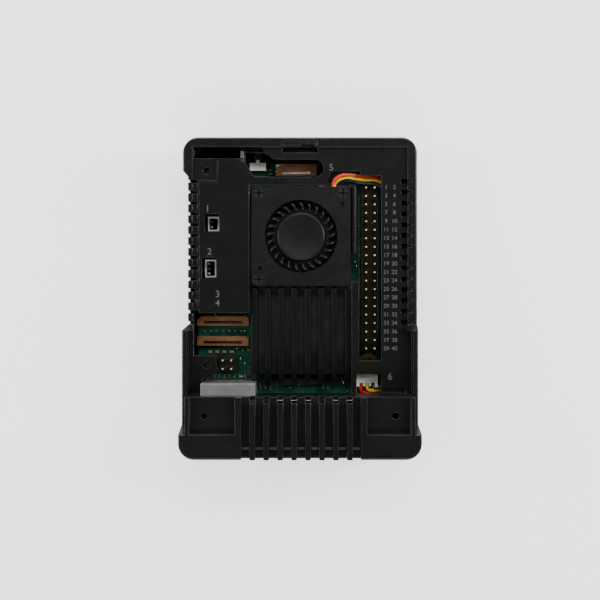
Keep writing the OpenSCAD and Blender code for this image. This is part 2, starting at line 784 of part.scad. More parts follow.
module fan_stator() {
    color([0.7, 0.42, 0.2]) translate([fan_x, fan_y, fan_z + fan_floor]) difference() {
        union() {
            cylinder(h = 1.9, r = 2.6);
            for (a = [0 : 60 : 300]) rotate(a) translate([2, -1, 0]) cube([3.4, 2, 1.9]);
            for (a = [0 : 60 : 300]) rotate(a) translate([4.6, -1.9, 0]) cube([0.8, 3.8, 1.9]);
        }
        translate([0, 0, -1]) cylinder(h = 5, r = bearing_r + fit_gap);
    }
}

cup_top = fan_z + fan_h - 0.2;
cup_inside = cup_top - 0.9;
module fan_shaft() {
    color(steel) translate([fan_x, fan_y, fan_z + 0.35])
        cylinder(h = cup_inside - fan_z - 0.35, r = shaft_r);
}

module fan_magnet() {
    color([0.2, 0.2, 0.2]) translate([fan_x, fan_y, rotor_z]) difference() {
        cylinder(h = cup_inside - rotor_z - 0.2, r = hub_r - cup_t);
        translate([0, 0, -1]) cylinder(h = 10, r = hub_r - cup_t - 0.6);
    }
}

// Hub cup, back disc and a ring of leaning blades
module fan_impeller() {
    blade_h = lid_z - rotor_gap - rotor_z;
    blade_t = 0.5;
    color(fan_black) translate([fan_x, fan_y, rotor_z]) difference() {
        union() {
            cylinder(h = cup_top - rotor_z, r = hub_r, $fn = 96);
            cylinder(h = disc_t, r = impeller_r, $fn = 96);
            for (i = [0 : blade_count - 1]) rotate(i * 360 / blade_count)
                translate([blade_r0, -blade_t / 2, 0]) rotate(14)
                    cube([impeller_r - blade_r0 - 0.1, blade_t, blade_h]);
        }
        translate([0, 0, -1]) cylinder(h = cup_inside - rotor_z + 1, r = hub_r - cup_t, $fn = 96);
    }
}

// Fan connector: a socket on the board, and the plug on the wires
module fan_socket() {
    color(socket_white) difference() {
        block([plug_x, plug_y], [plug_w, plug_l, plug_z - top_z], top_z);
        block([plug_x, plug_y], [plug_w - 1.4, plug_l - 1.4, 3], top_z + 0.8);
    }
}

function wire_x(i) = plug_x + (i - 1) * wire_pitch;
wire_end_y = plug_y - 0.65;
wire_end_z = plug_z + 1.3;
module fan_plug() {
    color(socket_white) difference() {
        union() {
            block([plug_x, plug_y], [plug_w, plug_l, 2.2], plug_z);
            block([plug_x, plug_y], [plug_w - 1.6, plug_l - 1.6, 1.2], plug_z - 1.1);
        }
        for (i = [0 : 2])
            span([wire_x(i) - wire_d / 2 - 0.1, plug_y - plug_l, wire_end_z - wire_d / 2 - 0.1],
                 [wire_x(i) + wire_d / 2 + 0.1, wire_end_y, plug_z + 3]);
    }
}

// Routes of the fan's wires: out of the blower's corner, under the deck beside
// the pin header, and back to the plug. The stretch by the blower is placed
// from the blower, the stretch beside the board from its header edge.
fan_exit = [fan_x, fan_y + fan_w / 2, fan_z];
side_lane = [header_x, 0, top_z];
plug_end = [header_x, cover_y, top_z];
function placed(origin, points) = [for (p = points) origin + p];
red_by_fan = [[9.5, 0, 3.2], [9.5, 1, 3.2], [10, 2.2, 3.4], [11.1, 3.1, 3.6], [12.6, 3.7, 3.7],
              [14.5, 3.8, 3.5], [16.3, 3.7, 3]];
yellow_by_fan = [[10.1, 0, 2], [10.1, 0.9, 2], [10.7, 1.8, 2.2], [11.7, 2.5, 2.4], [13, 3, 2.5],
                 [14.7, 3.1, 2.4], [16.4, 2.8, 1.9]];
black_by_fan = [[10.7, 0, 0.8], [10.7, 0.8, 0.8], [11.3, 1.4, 1], [12.2, 1.9, 1.2], [13.6, 2.2, 1.3],
                [15.1, 2.2, 1.1], [16.6, 1.9, 0.9]];
red_by_board = [[-4.9, 36.2, 5], [-3.1, 36.2, 4.1], [-1.4, 36, 3.3], [0.2, 35.5, 2.7], [1.2, 34.3, 2.3],
                [1.4, 33, 2.2]];
yellow_by_board = [[-5, 35.2, 4.5], [-3, 35.2, 3.8], [-1.2, 35, 3.5], [0.1, 34.4, 3.3], [0.8, 33.4, 3.3],
                   [1, 32, 3.2]];
black_by_board = [[-5, 34.3, 4.1], [-2.8, 34.2, 4.2], [-1.2, 33.9, 4.2], [0, 33.2, 4.2],
                  [0.5, 32.2, 4.2], [0.6, 31, 4.2]];
card_shift = [0, card_y - 40.75, 0];
red_by_plug = [[1.4, 5, 1.9], [1.4, 2.2, 1.9], [0.8, 0.3, 1.9], [-0.6, -0.4, 1.9], [-3, -0.4, 1.9],
               [-5.2, -0.3, 2], [-5.8, 0.2, 2.5], [-5.95, 1.1, 3.2]];
yellow_by_plug = [[1, 5, 3], [1, 2.6, 3], [0.5, 0.9, 2.9], [-0.8, 0.3, 2.9], [-2.6, 0.3, 2.9],
                  [-3.7, 0.6, 3.1], [-4.15, 1.3, 3.4]];
black_by_plug = [[0.6, 5, 4.1], [0.6, 3.4, 4], [0.2, 1.9, 3.9], [-0.8, 1.1, 3.9], [-1.8, 1.1, 3.8],
                 [-2.3, 1.7, 3.6]];
function plug_entry(i) = [for (back = [0.8, 0]) [wire_x(i), wire_end_y - back, wire_end_z]];
function wire_route(by_fan, by_board, by_plug, i) = concat(
    placed(fan_exit, by_fan), placed(side_lane + card_shift, by_board),
    placed(plug_end, by_plug), plug_entry(i));

module fan_wire_red() {
    color([0.75, 0.05, 0.05]) wire(wire_route(red_by_fan, red_by_board, red_by_plug, 0), wire_d);
}
module fan_wire_yellow() {
    color([0.9, 0.72, 0.1]) wire(wire_route(yellow_by_fan, yellow_by_board, yellow_by_plug, 1), wire_d);
}
module fan_wire_black() {
    color([0.06, 0.06, 0.06]) wire(wire_route(black_by_fan, black_by_board, black_by_plug, 2), wire_d);
}

// ------------------------------------------------------------- connectors

// Places of the pins of a header with two columns
function pin_places(place, rows) = [for (c = [-0.5, 0.5], r = [0 : rows - 1])
    [place[0] + c * pin_pitch, place[1] + (r - (rows - 1) / 2) * pin_pitch]];

module header_base(place, rows) {
    color(plastic_black) difference() {
        block(place, [2 * pin_pitch, rows * pin_pitch, pin_pitch], top_z);
        for (p = pin_places(place, rows))
            block(p, [pin_w + 2 * fit_gap, pin_w + 2 * fit_gap, 5], top_z - 1);
    }
}

module header_pins(place, rows) {
    color(gold) for (p = pin_places(place, rows)) block(p, [pin_w, pin_w, pin_h], top_z);
}

header_place = [header_x - hole_inset, header_y];
poe_place = [poe_x, power_row_y];
module gpio_header() { header_base(header_place, header_rows); }
module gpio_pins() { header_pins(header_place, header_rows); }
module poe_header() { header_base(poe_place, 2); }
module poe_pins() { header_pins(poe_place, 2); }

// Connector outline with round ends, as Y and Z
module oval(w, h) {
    square([w - h, h], center = true);
    for (s = [-1, 1]) translate([s * (w - h) / 2, 0]) circle(h / 2);
}

module usb_c_shell() {
    x0 = port_x - port_overhang;
    color(steel) difference() {
        translate([0, power_port_y, top_z + power_port_h / 2])
            side_slab(x0, x0 + power_port_l) oval(power_port_w, power_port_h);
        translate([0, power_port_y, top_z + power_port_h / 2])
            side_slab(x0 - 1, x0 + power_port_l - 0.8) oval(power_port_w - 0.7, power_port_h - 0.7);
    }
}

module usb_c_tongue() {
    x1 = port_x - port_overhang + power_port_l - 0.8;
    middle = top_z + power_port_h / 2;
    color(plastic_black)
        span([x1 - 5.6, power_port_y - 3.3, middle - 0.35], [x1, power_port_y + 3.3, middle + 0.35]);
}

// Outline of a small display port: flat top, lower corners cut away
module hdmi_outline(inset) {
    w = hdmi_w / 2 - inset;
    h = hdmi_h - inset;
    polygon([[-w, h], [-w, 1], [0.7 - w, inset], [w - 0.7, inset], [w, 1], [w, h]]);
}

module hdmi_shells() {
    x0 = port_x - port_overhang;
    color(steel) for (y = hdmi_y) difference() {
        translate([0, y, top_z]) side_slab(x0, x0 + hdmi_l) hdmi_outline(0);
        translate([0, y, top_z]) side_slab(x0 - 1, x0 + hdmi_l - 0.8) hdmi_outline(metal_t);
    }
}

module hdmi_tongues() {
    x1 = port_x - port_overhang + hdmi_l - 0.8;
    color(plastic_black) for (y = hdmi_y)
        span([x1 - 5.4, y - 2.1, top_z + 1.4], [x1, y + 2.1, top_z + 2]);
}

// Network jack: a metal shell round a plastic body with a stepped port
port_floor = 3.2;
module ethernet_shell() {
    x0 = ethernet_x - ethernet_w / 2;
    y1 = jack_face_y + ethernet_l;
    color(steel) difference() {
        span([x0, jack_face_y, top_z], [x0 + ethernet_w, y1, top_z + ethernet_h]);
        span([x0 + metal_t, jack_face_y - 1, top_z - 1],
             [x0 + ethernet_w - metal_t, y1 - metal_t, top_z + ethernet_h - metal_t]);
    }
}

module ethernet_insert() {
    low = [ethernet_x - ethernet_w / 2 + metal_t, jack_face_y + 0.3, top_z];
    high = [ethernet_x + ethernet_w / 2 - metal_t, jack_face_y + ethernet_l - metal_t,
            top_z + ethernet_h - metal_t];
    floor_z = top_z + port_floor;
    color(plastic_black) difference() {
        span(low, high);
        // port, the latch's notch below it, and two light windows
        span([ethernet_x - 5.9, jack_face_y - 1, floor_z], [ethernet_x + 5.9, jack_face_y + 13, floor_z + 7.6]);
        span([ethernet_x - 3, jack_face_y - 1, floor_z - 1.9], [ethernet_x + 3, jack_face_y + 7, floor_z + 1]);
        for (s = [-1, 1])
            block([ethernet_x + s * 5.6, jack_face_y], [3, 1.6, 1.6], high[2] - 2.2);
    }
}

module ethernet_contacts() {
    floor_z = top_z + port_floor;
    color(gold) for (i = [0 : 7])
        translate([ethernet_x + (i - 3.5) * 1.02, jack_face_y + 3.5, floor_z + 7.6]) rotate([-24, 0, 0])
            translate([-0.2, 0.2, -0.6]) cube([0.4, 5.4, 0.4]);
}

// Stack of two jacks: sheet metal shell with two openings
port_h = 6.2;
function port_z(k) = top_z + 1.3 + k * (port_h + 1.4);
module stack_shell(x) {
    y1 = jack_face_y + stack_l;
    color(steel) difference() {
        span([x - stack_w / 2, jack_face_y, top_z], [x + stack_w / 2, y1, top_z + stack_h]);
        for (k = [0, 1])
            span([x - stack_w / 2 + metal_t, jack_face_y - 1, port_z(k)],
                 [x + stack_w / 2 - metal_t, y1 - metal_t, port_z(k) + port_h]);
    }
}

// Plastic back blocks with the tongue that a plug slides over
module stack_insert(x) {
    y1 = jack_face_y + stack_l - metal_t;
    w = stack_w / 2 - metal_t;
    for (k = [0, 1]) {
        span([x - w, jack_face_y + 10, port_z(k)], [x + w, y1, port_z(k) + port_h]);
        span([x - w + 0.6, jack_face_y + 1.2, port_z(k) + 3.6],
             [x + w - 0.6, jack_face_y + 10 + eps, port_z(k) + 5.4]);
    }
}

module usb3_shell() { stack_shell(usb3_x); }
module usb2_shell() { stack_shell(usb2_x); }
module usb3_insert() { color([0.05, 0.2, 0.55]) stack_insert(usb3_x); }
module usb2_insert() { color(plastic_black) stack_insert(usb2_x); }

module usb_contacts() {
    color(gold) for (x = [usb3_x, usb2_x], k = [0, 1], i = [-1.5 : 1.5])
        span([x + i * 2.4 - 0.5, jack_face_y + 1.8, port_z(k) + 3.45],
             [x + i * 2.4 + 0.5, jack_face_y + 9.2, port_z(k) + 3.6]);
}

// Ribbon socket: a low body with a slot, and notches for its latch's legs
leg_w = 0.8;
leg_z = latch_z - latch_lift - 0.2;  // the legs stay in the socket when it is lifted
module ribbon_socket(place, w, l) {
    difference() {
        block(place, [w, l, latch_z - top_z], top_z);
        block([place[0], place[1] - l / 2 + 1], [w - 4, 0.7, 5], top_z + 0.4);
        for (s = [-1, 1]) block([place[0] + s * (w / 2 - 0.9), place[1] + 0.3],
                                [leg_w + 0.2, 1.2, 5], leg_z - 0.1);
    }
}

// Latch that lifts off the socket: slanting ends, open over the slot
module ribbon_latch(place, w, l) {
    color(latch_brown) {
        plate(latch_z, latch_z + latch_h) translate(place) difference() {
            polygon([[-w / 2, -l / 2], [w / 2, -l / 2], [w / 2, l / 2 - 0.9], [w / 2 - 1, l / 2],
                     [1.8 - w / 2, l / 2], [-w / 2, l / 2 - 1]]);
            translate([2 - w / 2, 0.55 - l / 2]) square([w - 4, 0.9]);
        }
        for (s = [-1, 1]) block([place[0] + s * (w / 2 - 0.9), place[1] + 0.3],
                                [leg_w, 1, latch_z - leg_z + eps], leg_z);
    }
}

ribbon_l = 2.9;
pcie_l = 3.5;
module camera_sockets() {
    color(socket_white) for (y = ribbon_y) ribbon_socket([ribbon_x, y], ribbon_w, ribbon_l);
}
module camera_latch_1() { ribbon_latch([ribbon_x, ribbon_y[0]], ribbon_w, ribbon_l); }
module camera_latch_0() { ribbon_latch([ribbon_x, ribbon_y[1]], ribbon_w, ribbon_l); }
module pcie_socket() {
    color(socket_white) ribbon_socket([pcie_x, pcie_y], pcie_w, pcie_l);
}
module pcie_latch() { ribbon_latch([pcie_x, pcie_y], pcie_w, pcie_l); }

// Small upright sockets with a thin white wall
module small_socket(place, l) {
    color(socket_white) difference() {
        block(place, [small_socket_w, l, small_socket_h], top_z);
        block(place, [small_socket_w - 0.9, l - 0.9, small_socket_h], top_z + 0.8);
    }
}
module rtc_socket() { small_socket(rtc_place, 4.4); }
module uart_socket() { small_socket(uart_place, 5.4); }
module socket_pins() {
    color(gold) {
        for (i = [-0.75, 0.75]) block([rtc_place[0] - 0.6, rtc_place[1] + i], [0.5, 0.5, 2.4], top_z + 0.8);
        for (i = [-1.5, 0, 1.5]) block([uart_place[0] - 0.6, uart_place[1] + i], [0.5, 0.5, 2.4], top_z + 0.8);
    }
}

// Side-acting power switch, and the plunger that the case button pushes
module power_switch() {
    color(steel) difference() {
        block([switch_x, card_y - switch_l / 2], [switch_w, switch_l, 2], top_z);
        span([switch_x - 0.7, card_y - 1.1 - button_travel, press_z - 0.6],
             [switch_x + 0.7, card_y + 1, press_z + 0.6]);
    }
}
module switch_plunger() {
    color([0.92, 0.92, 0.9])
        span([switch_x - 0.6, card_y - 1, press_z - 0.5], [switch_x + 0.6, plunger_tip_y, press_z + 0.5]);
}

module status_led() {
    color([0.3, 0.8, 0.4]) block([light_x, card_y - 0.6], [1, 1.2, 1.4], top_z);
}

// Memory card socket under the board, open at the card end
module card_socket() {
    x = card_slot_x();
    z0 = board_z - 1.4;
    color(steel) difference() {
        span([x - 6, card_y - 14.5, z0], [x + 6, card_y - 0.5, board_z]);
        span([x - 5.6, card_y - 14.2, z0 + 0.2], [x + 5.6, card_y + 1, board_z - 0.3]);
    }
}

upper_case();
base_plate();
rubber_feet();
case_screws();
cover_catch();
power_button();
light_pipe();
circuit_board();
processor_substrate();
processor_lid();
thermal_pad();
memory_chip();
io_controller();
power_chip();
wireless_can();
heat_sink();
fan_housing();
fan_lid();
fan_screws();
fan_stator();
fan_bearing();
fan_shaft();
fan_impeller();
fan_magnet();
fan_socket();
fan_plug();
fan_wire_red();
fan_wire_yellow();
fan_wire_black();
gpio_header();
gpio_pins();
poe_header();
poe_pins();
usb_c_shell();
usb_c_tongue();
hdmi_shells();
hdmi_tongues();
ethernet_shell();
ethernet_insert();
ethernet_contacts();
usb3_shell();
usb3_insert();
usb2_shell();
usb2_insert();
usb_contacts();
camera_sockets();
camera_latch_1();
camera_latch_0();
pcie_socket();
pcie_latch();
rtc_socket();
uart_socket();
socket_pins();
power_switch();
switch_plunger();
status_led();
card_socket();
inductors();
capacitors();
small_chips();
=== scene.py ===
"""Looks of a single board computer in a finned case, built on its packed CAD frame."""

import math
import random

import bmesh
import bpy
from bpy.props import FloatProperty, FloatVectorProperty, IntProperty, PointerProperty
from mathutils import Matrix, Vector


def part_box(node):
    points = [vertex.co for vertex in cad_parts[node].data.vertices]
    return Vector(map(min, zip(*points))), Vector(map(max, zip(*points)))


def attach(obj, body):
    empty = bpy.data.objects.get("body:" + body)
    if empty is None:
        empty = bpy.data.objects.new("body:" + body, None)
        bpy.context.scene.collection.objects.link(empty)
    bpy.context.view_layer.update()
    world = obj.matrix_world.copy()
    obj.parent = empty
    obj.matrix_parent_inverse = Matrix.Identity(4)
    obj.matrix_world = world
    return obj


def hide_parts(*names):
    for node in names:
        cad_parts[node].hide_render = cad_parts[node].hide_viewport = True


bl_info = {
    "name": "Single Board Computer Looks",
    "version": (1, 0, 0),
    "blender": (4, 5, 0),
    "location": "3D View > Sidebar > Computer",
    "description": "Builds the visible pieces of a cased single board computer on its CAD frame",
    "category": "Object",
}

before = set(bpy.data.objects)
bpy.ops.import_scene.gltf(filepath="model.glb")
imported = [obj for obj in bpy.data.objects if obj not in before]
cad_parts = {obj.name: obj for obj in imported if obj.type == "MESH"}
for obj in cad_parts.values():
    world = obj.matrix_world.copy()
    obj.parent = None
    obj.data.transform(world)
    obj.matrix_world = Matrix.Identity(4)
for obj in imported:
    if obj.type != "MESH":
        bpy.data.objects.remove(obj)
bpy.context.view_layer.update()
MM = 0.001
UNIT = "main_unit"


# ------------------------------------------------------------------ settings


def colour_setting(name, value, description):
    """A colour in the panel, as linear red, green and blue."""
    return FloatVectorProperty(name=name, description=description, subtype="COLOR", size=3,
                               min=0, max=1, default=value)


def size_setting(name, value, description):
    """A length in the panel, whose value is given in mm."""
    return FloatProperty(name=name, description=description, unit="LENGTH", min=0,
                         precision=5, default=value * MM)


class CaseLooks(bpy.types.PropertyGroup):
    """Colour and roundings of the case"""

    plastic: colour_setting("Plastic", (0.0054, 0.0054, 0.0056), "Colour of the moulded case")
    # The lighter edge colour is a painted highlight along the case's rounded edges.
    edge: colour_setting("Edge highlight", (0.012, 0.012, 0.0122), "Colour of the case along its edges")
    outer_round: size_setting("Outer rounding", 0.9, "Rounding of the case's outer top edges")
    edge_round: size_setting("Edge rounding", 0.16, "Rounding of the case's other edges")
    ink: colour_setting("Marking ink", (0.075, 0.075, 0.078), "Colour of the numbers on the deck")
    ink_t: size_setting("Ink thickness", 0.02, "Thickness of the numbers on the deck")
    digit_h: size_setting("Pin number height", 1.75, "Size of the numbers beside the pin header")
    label_h: size_setting("Socket number height", 2.8, "Size of the numbers beside the sockets")


class CoolerLooks(bpy.types.PropertyGroup):
    """Colours and sizes of the blower and the heat sink"""

    fan: colour_setting("Blower", (0.0066, 0.0064, 0.0074), "Colour of the blower's housing")
    sink: colour_setting("Heat sink", (0.02, 0.0185, 0.0195), "Colour of the heat sink's coating")
    blades: IntProperty(name="Blades", description="Number of impeller blades", min=5, max=40,
                        default=25)
    blade_t: size_setting("Blade thickness", 0.6, "Thickness of an impeller blade")
    blade_sweep: FloatProperty(name="Blade sweep", subtype="ANGLE", default=math.radians(16),
                               description="Angle that a blade bends through from hub to rim")
    blade_root: FloatProperty(name="Blade root", description="Share of the height at the hub",
                              min=0.1, max=1, default=0.45)
    rim_round: size_setting("Hub rounding", 0.7, "Rounding of the hub's top edge")
    wire_d: size_setting("Wire diameter", 1.0, "Outer diameter of the blower's wires")


class BoardLooks(bpy.types.PropertyGroup):
    """Colours and small parts of the circuit board"""

    mask: colour_setting("Solder mask", (0.003, 0.03, 0.018), "Colour of the board between tracks")
    track: colour_setting("Tracks", (0.006, 0.05, 0.031), "Colour of the mask over copper")
    vias: IntProperty(name="Vias", description="Number of plated holes", min=0, max=2000,
                      default=420)
    seed: IntProperty(name="Seed", description="Seed of the plated holes' places", default=7)
    latch: colour_setting("Latches", (0.115, 0.051, 0.02), "Colour of the ribbon latches")


class StageLooks(bpy.types.PropertyGroup):
    """Floor, lights and camera"""

    floor: colour_setting("Floor", (0.9, 0.9, 0.9), "Colour of the floor")
    floor_glow: FloatProperty(name="Floor glow", description="Light that the floor gives",
                              min=0, default=1.15)
    light: FloatProperty(name="Light", description="Strength of the soft lights", min=0,
                         default=0.66)
    camera_height: size_setting("Camera height", 265.3, "Height of the camera above the floor")
    camera_y: FloatProperty(name="Camera place", description="Place of the camera along the case",
                            unit="LENGTH", default=-1.35 * MM)


# ------------------------------------------------------------------ finishes


class Finish:
    """One material: a Principled shader whose patterns sit on Object coordinates."""

    def __init__(self, name, colour, roughness=0.5, metallic=0.0, **sockets):
        self.material = bpy.data.materials.new(name)
        self.material.use_nodes = True
        self.tree = self.material.node_tree
        self.shader = self.tree.nodes["Principled BSDF"]
        self.colour = (*colour, 1.0)
        settings = {"Base Color": self.colour, "Roughness": roughness, "Metallic": metallic}
        if "specular" in sockets:
            settings["Specular IOR Level"] = sockets.pop("specular")
        settings.update({k.replace("_", " ").title(): v for k, v in sockets.items()})
        for socket, value in settings.items():
            self.shader.inputs[socket].default_value = value
        self.place = self.node("ShaderNodeTexCoord").outputs["Object"]

    def node(self, kind, **settings):
        """A new node of the material with those settings."""
        made = self.tree.nodes.new(kind)
        for key, value in settings.items():
            setattr(made, key, value)
        return made

    def join(self, output, socket):
        self.tree.links.new(output, socket)

    def stretched(self, stretch):
        """The object's coordinates, scaled unevenly for drawn or brushed lines."""
        mapping = self.node("ShaderNodeMapping")
        mapping.inputs["Scale"].default_value = stretch
        self.join(self.place, mapping.inputs["Vector"])
        return mapping.outputs["Vector"]

    def noise(self, size, detail=2.0, stretch=None):
        """Soft clouds about as large as size."""
        texture = self.node("ShaderNodeTexNoise")
        texture.inputs["Scale"].default_value = 1 / size
        texture.inputs["Detail"].default_value = detail
        self.join(self.stretched(stretch) if stretch else self.place, texture.inputs["Vector"])
        return texture.outputs[0]

    def cells(self, size, metric="EUCLIDEAN"):
        """Distance from the middles of random cells about as large as size."""
        texture = self.node("ShaderNodeTexVoronoi", distance=metric)
        texture.inputs["Scale"].default_value = 1 / size
        self.join(self.place, texture.inputs["Vector"])
        return texture.outputs["Distance"]

    def ripple(self, size, direction="Z", wobble=0.0):
        """Waves along an axis."""
        texture = self.node("ShaderNodeTexWave", bands_direction=direction)
        texture.inputs["Scale"].default_value = 1 / (size * math.pi)
        texture.inputs["Distortion"].default_value = wobble
        self.join(self.place, texture.inputs["Vector"])
        return texture.outputs["Fac"]

    def spread(self, value, low, high, to_low=0.0, to_high=1.0):
        """A value moved from one range to another, and held within it."""
        ranged = self.node("ShaderNodeMapRange")
        for socket, number in zip(ranged.inputs[1:5], (low, high, to_low, to_high)):
            socket.default_value = number
        self.join(value, ranged.inputs[0])
        return ranged.outputs[0]

    def sum(self, a, b, share):
        """The first pattern with a share of the second added."""
        added = self.node("ShaderNodeMath", operation="MULTIPLY_ADD")
        self.join(b, added.inputs[0])
        added.inputs[1].default_value = share
        self.join(a, added.inputs[2])
        return added.outputs[0]

    def tint(self, factor, other, base=None):
        """Mixes another colour into the base by a factor, and shows the result."""
        mix = self.node("ShaderNodeMix", data_type="RGBA")
        self.join(factor, mix.inputs[0])
        mix.inputs[6].default_value = self.colour
        if base:
            self.join(base, mix.inputs[6])
        mix.inputs[7].default_value = (*other, 1.0)
        self.join(mix.outputs[2], self.shader.inputs["Base Color"])
        return mix.outputs[2]

    def mottle(self, size, other, low=0.35, high=0.65, detail=2.0):
        """The base colour with cloudy patches of another."""
        return self.tint(self.spread(self.noise(size, detail), low, high), other)

    def height(self, low, high):
        """0 below one height on the object, 1 above another."""
        split = self.node("ShaderNodeSeparateXYZ")
        self.join(self.place, split.inputs[0])
        return self.spread(split.outputs[2], low, high)

    def gloss(self, factor, low, high):
        """Roughness between two values, by a noise."""
        self.join(self.spread(factor, 0.3, 0.7, low, high), self.shader.inputs["Roughness"])

    def relief(self, height, depth, strength=1.0):
        """Fine bumps of the surface that are too small to model."""
        bump = self.node("ShaderNodeBump")
        bump.inputs["Strength"].default_value = strength
        bump.inputs["Distance"].default_value = depth
        self.join(height, bump.inputs["Height"])
        self.join(bump.outputs[0], self.shader.inputs["Normal"])


def lighter(colour, share):
    """The colour with its light multiplied by a share, which may be below 1."""
    return tuple(min(1.0, c * share) for c in colour)


def grained(name, colour, other, rough, patch, grain, depth, stretch=None, **sockets):
    """Mottled colour, uneven gloss and a fine grain: patch and grain are sizes in mm."""
    made = Finish(name, colour, rough[0], **sockets)
    made.mottle(patch * MM, other)
    made.gloss(made.noise(patch * MM / 3, 3, stretch), *rough)
    made.relief(made.noise(grain * MM, 3, stretch), depth * MM)
    return made


GRAINED = {
    "foot_rubber": dict(colour=(0.012, 0.012, 0.012), other=(0.02, 0.02, 0.02), rough=(0.65, 0.85),
                        patch=2, grain=0.15, depth=0.02),
    "black_steel": dict(colour=(0.0085, 0.0085, 0.0095), other=(0.012, 0.0118, 0.0118),
                        rough=(0.28, 0.38), patch=1, grain=0.08, depth=0.002, specular=0.4),
    # Near-black finish of pieces that stand in for the shade in slots, notches and sockets: painted
    # shade.
    "slot_dark": dict(colour=(0.0015, 0.0015, 0.0016), other=(0.0024, 0.0024, 0.0024),
                      rough=(0.6, 0.8), patch=0.5, grain=0.05, depth=0.002, specular=0.1),
    # The blades are a lighter grey than the hub's plastic: a painted highlight where light catches
    # their tops.
    "blade_plastic": dict(colour=(0.022, 0.022, 0.025), other=(0.03, 0.03, 0.034),
                          rough=(0.3, 0.42), patch=1, grain=0.1, depth=0.002),
    "screw_steel": dict(colour=(0.5, 0.5, 0.51), other=(0.4, 0.39, 0.38), rough=(0.2, 0.38),
                        patch=1, grain=0.06, depth=0.003, metallic=1.0),
    "plated_metal": dict(colour=(0.46, 0.46, 0.455), other=(0.4, 0.4, 0.395), rough=(0.32, 0.42),
                         patch=3, grain=0.3, depth=0.002, metallic=0.85, stretch=(6, 1, 1)),
    "clear_plastic": dict(colour=(0.85, 0.88, 0.88), other=(0.8, 0.84, 0.85), rough=(0.08, 0.2),
                          patch=3, grain=0.4, depth=0.004, transmission_weight=0.85),
    "thermal_pad": dict(colour=(0.22, 0.26, 0.3), other=(0.28, 0.32, 0.36), rough=(0.6, 0.8),
                        patch=1, grain=0.1, depth=0.02),
    "chip_black": dict(colour=(0.012, 0.012, 0.013), other=(0.018, 0.018, 0.018),
                       rough=(0.45, 0.65), patch=1.5, grain=0.07, depth=0.006),
    "bearing_bronze": dict(colour=(0.5, 0.3, 0.11), other=(0.4, 0.22, 0.08), rough=(0.3, 0.5),
                           patch=0.6, grain=0.08, depth=0.006, metallic=1.0),
    "magnet": dict(colour=(0.08, 0.08, 0.085), other=(0.06, 0.06, 0.06), rough=(0.4, 0.6),
                   patch=1, grain=0.06, depth=0.006, metallic=0.7),
    "white_plastic": dict(colour=(0.72, 0.71, 0.66), other=(0.66, 0.645, 0.59), rough=(0.35, 0.5),
                          patch=2, grain=0.12, depth=0.004, subsurface_weight=0.15,
                          subsurface_scale=0.3 * MM),
    "header_plastic": dict(colour=(0.0085, 0.0088, 0.0048), other=(0.012, 0.0122, 0.0068),
                           rough=(0.4, 0.55), patch=1.6, grain=0.1, depth=0.003, specular=0.2),
    "connector_black": dict(colour=(0.014, 0.0138, 0.011), other=(0.02, 0.0195, 0.015),
                            rough=(0.38, 0.55), patch=1.6, grain=0.1, depth=0.006),
    "gold_pins": dict(colour=(0.86, 0.63, 0.28), other=(0.78, 0.55, 0.24), rough=(0.16, 0.3),
                      patch=0.6, grain=0.05, depth=0.002, metallic=1.0),
    "bright_tin": dict(colour=(0.92, 0.91, 0.88), other=(0.85, 0.84, 0.8), rough=(0.45, 0.6),
                       patch=0.5, grain=0.05, depth=0.002, metallic=0.3),
    "blue_plastic": dict(colour=(0.008, 0.035, 0.24), other=(0.012, 0.05, 0.3), rough=(0.32, 0.5),
                         patch=2, grain=0.12, depth=0.005),
    "led_lens": dict(colour=(0.35, 0.75, 0.4), other=(0.3, 0.66, 0.36), rough=(0.12, 0.25),
                     patch=0.5, grain=0.1, depth=0.002, transmission_weight=0.4),
    "amber_lens": dict(colour=(0.75, 0.36, 0.06), other=(0.66, 0.3, 0.05), rough=(0.12, 0.25),
                       patch=0.5, grain=0.1, depth=0.002, transmission_weight=0.4),
    "ferrite": dict(colour=(0.045, 0.045, 0.047), other=(0.065, 0.062, 0.06), rough=(0.5, 0.7),
                    patch=0.7, grain=0.08, depth=0.012),
    "ceramic": dict(colour=(0.1, 0.075, 0.047), other=(0.14, 0.105, 0.066), rough=(0.4, 0.6),
                    patch=0.5, grain=0.05, depth=0.004),
    "solder": dict(colour=(0.34, 0.345, 0.35), other=(0.27, 0.275, 0.28), rough=(0.15, 0.35),
                   patch=0.4, grain=0.1, depth=0.006, metallic=1.0),
    "board_ink": dict(colour=(0.16, 0.17, 0.165), other=(0.12, 0.13, 0.125), rough=(0.6, 0.8),
                      patch=0.8, grain=0.05, depth=0.004),
}
WIRE_COLOURS = {
    "red": ((0.56, 0.008, 0.008), (0.66, 0.016, 0.012)),
    "yellow": ((0.78, 0.5, 0.02), (0.86, 0.58, 0.04)),
    "black": ((0.012, 0.012, 0.012), (0.02, 0.02, 0.02)),
}


def case_finish(name):
    """Spark-eroded black plastic; the rounded edges take a glossier finish whose lighter colour is
    a painted highlight.
    """
    looks = bpy.context.scene.case_looks
    edge = name == "case_edge"
    # On the rounded edges the colour is the lighter edge colour: a painted highlight.
    colour = looks.edge if edge else looks.plastic
    made = Finish(name, colour, 0.35, specular=0.5 if edge else 0.12)
    made.mottle(11 * MM, lighter(colour, 1.35), 0.3, 0.7, 3)
    made.gloss(made.noise(2.5 * MM, 4), *((0.22, 0.3) if edge else (0.3, 0.38)))
    pits = made.sum(made.noise(0.13 * MM, 2), made.cells(0.3 * MM), 0.5)
    made.relief(pits, (0.001 if edge else 0.003) * MM)
    return made


def fan_finish(name):
    """Smooth black plastic of the blower."""
    colour = bpy.context.scene.cooler_looks.fan
    return grained(name, colour, lighter(colour, 1.3), (0.28, 0.38), 6, 0.14, 0.003,
                   specular=0.2)


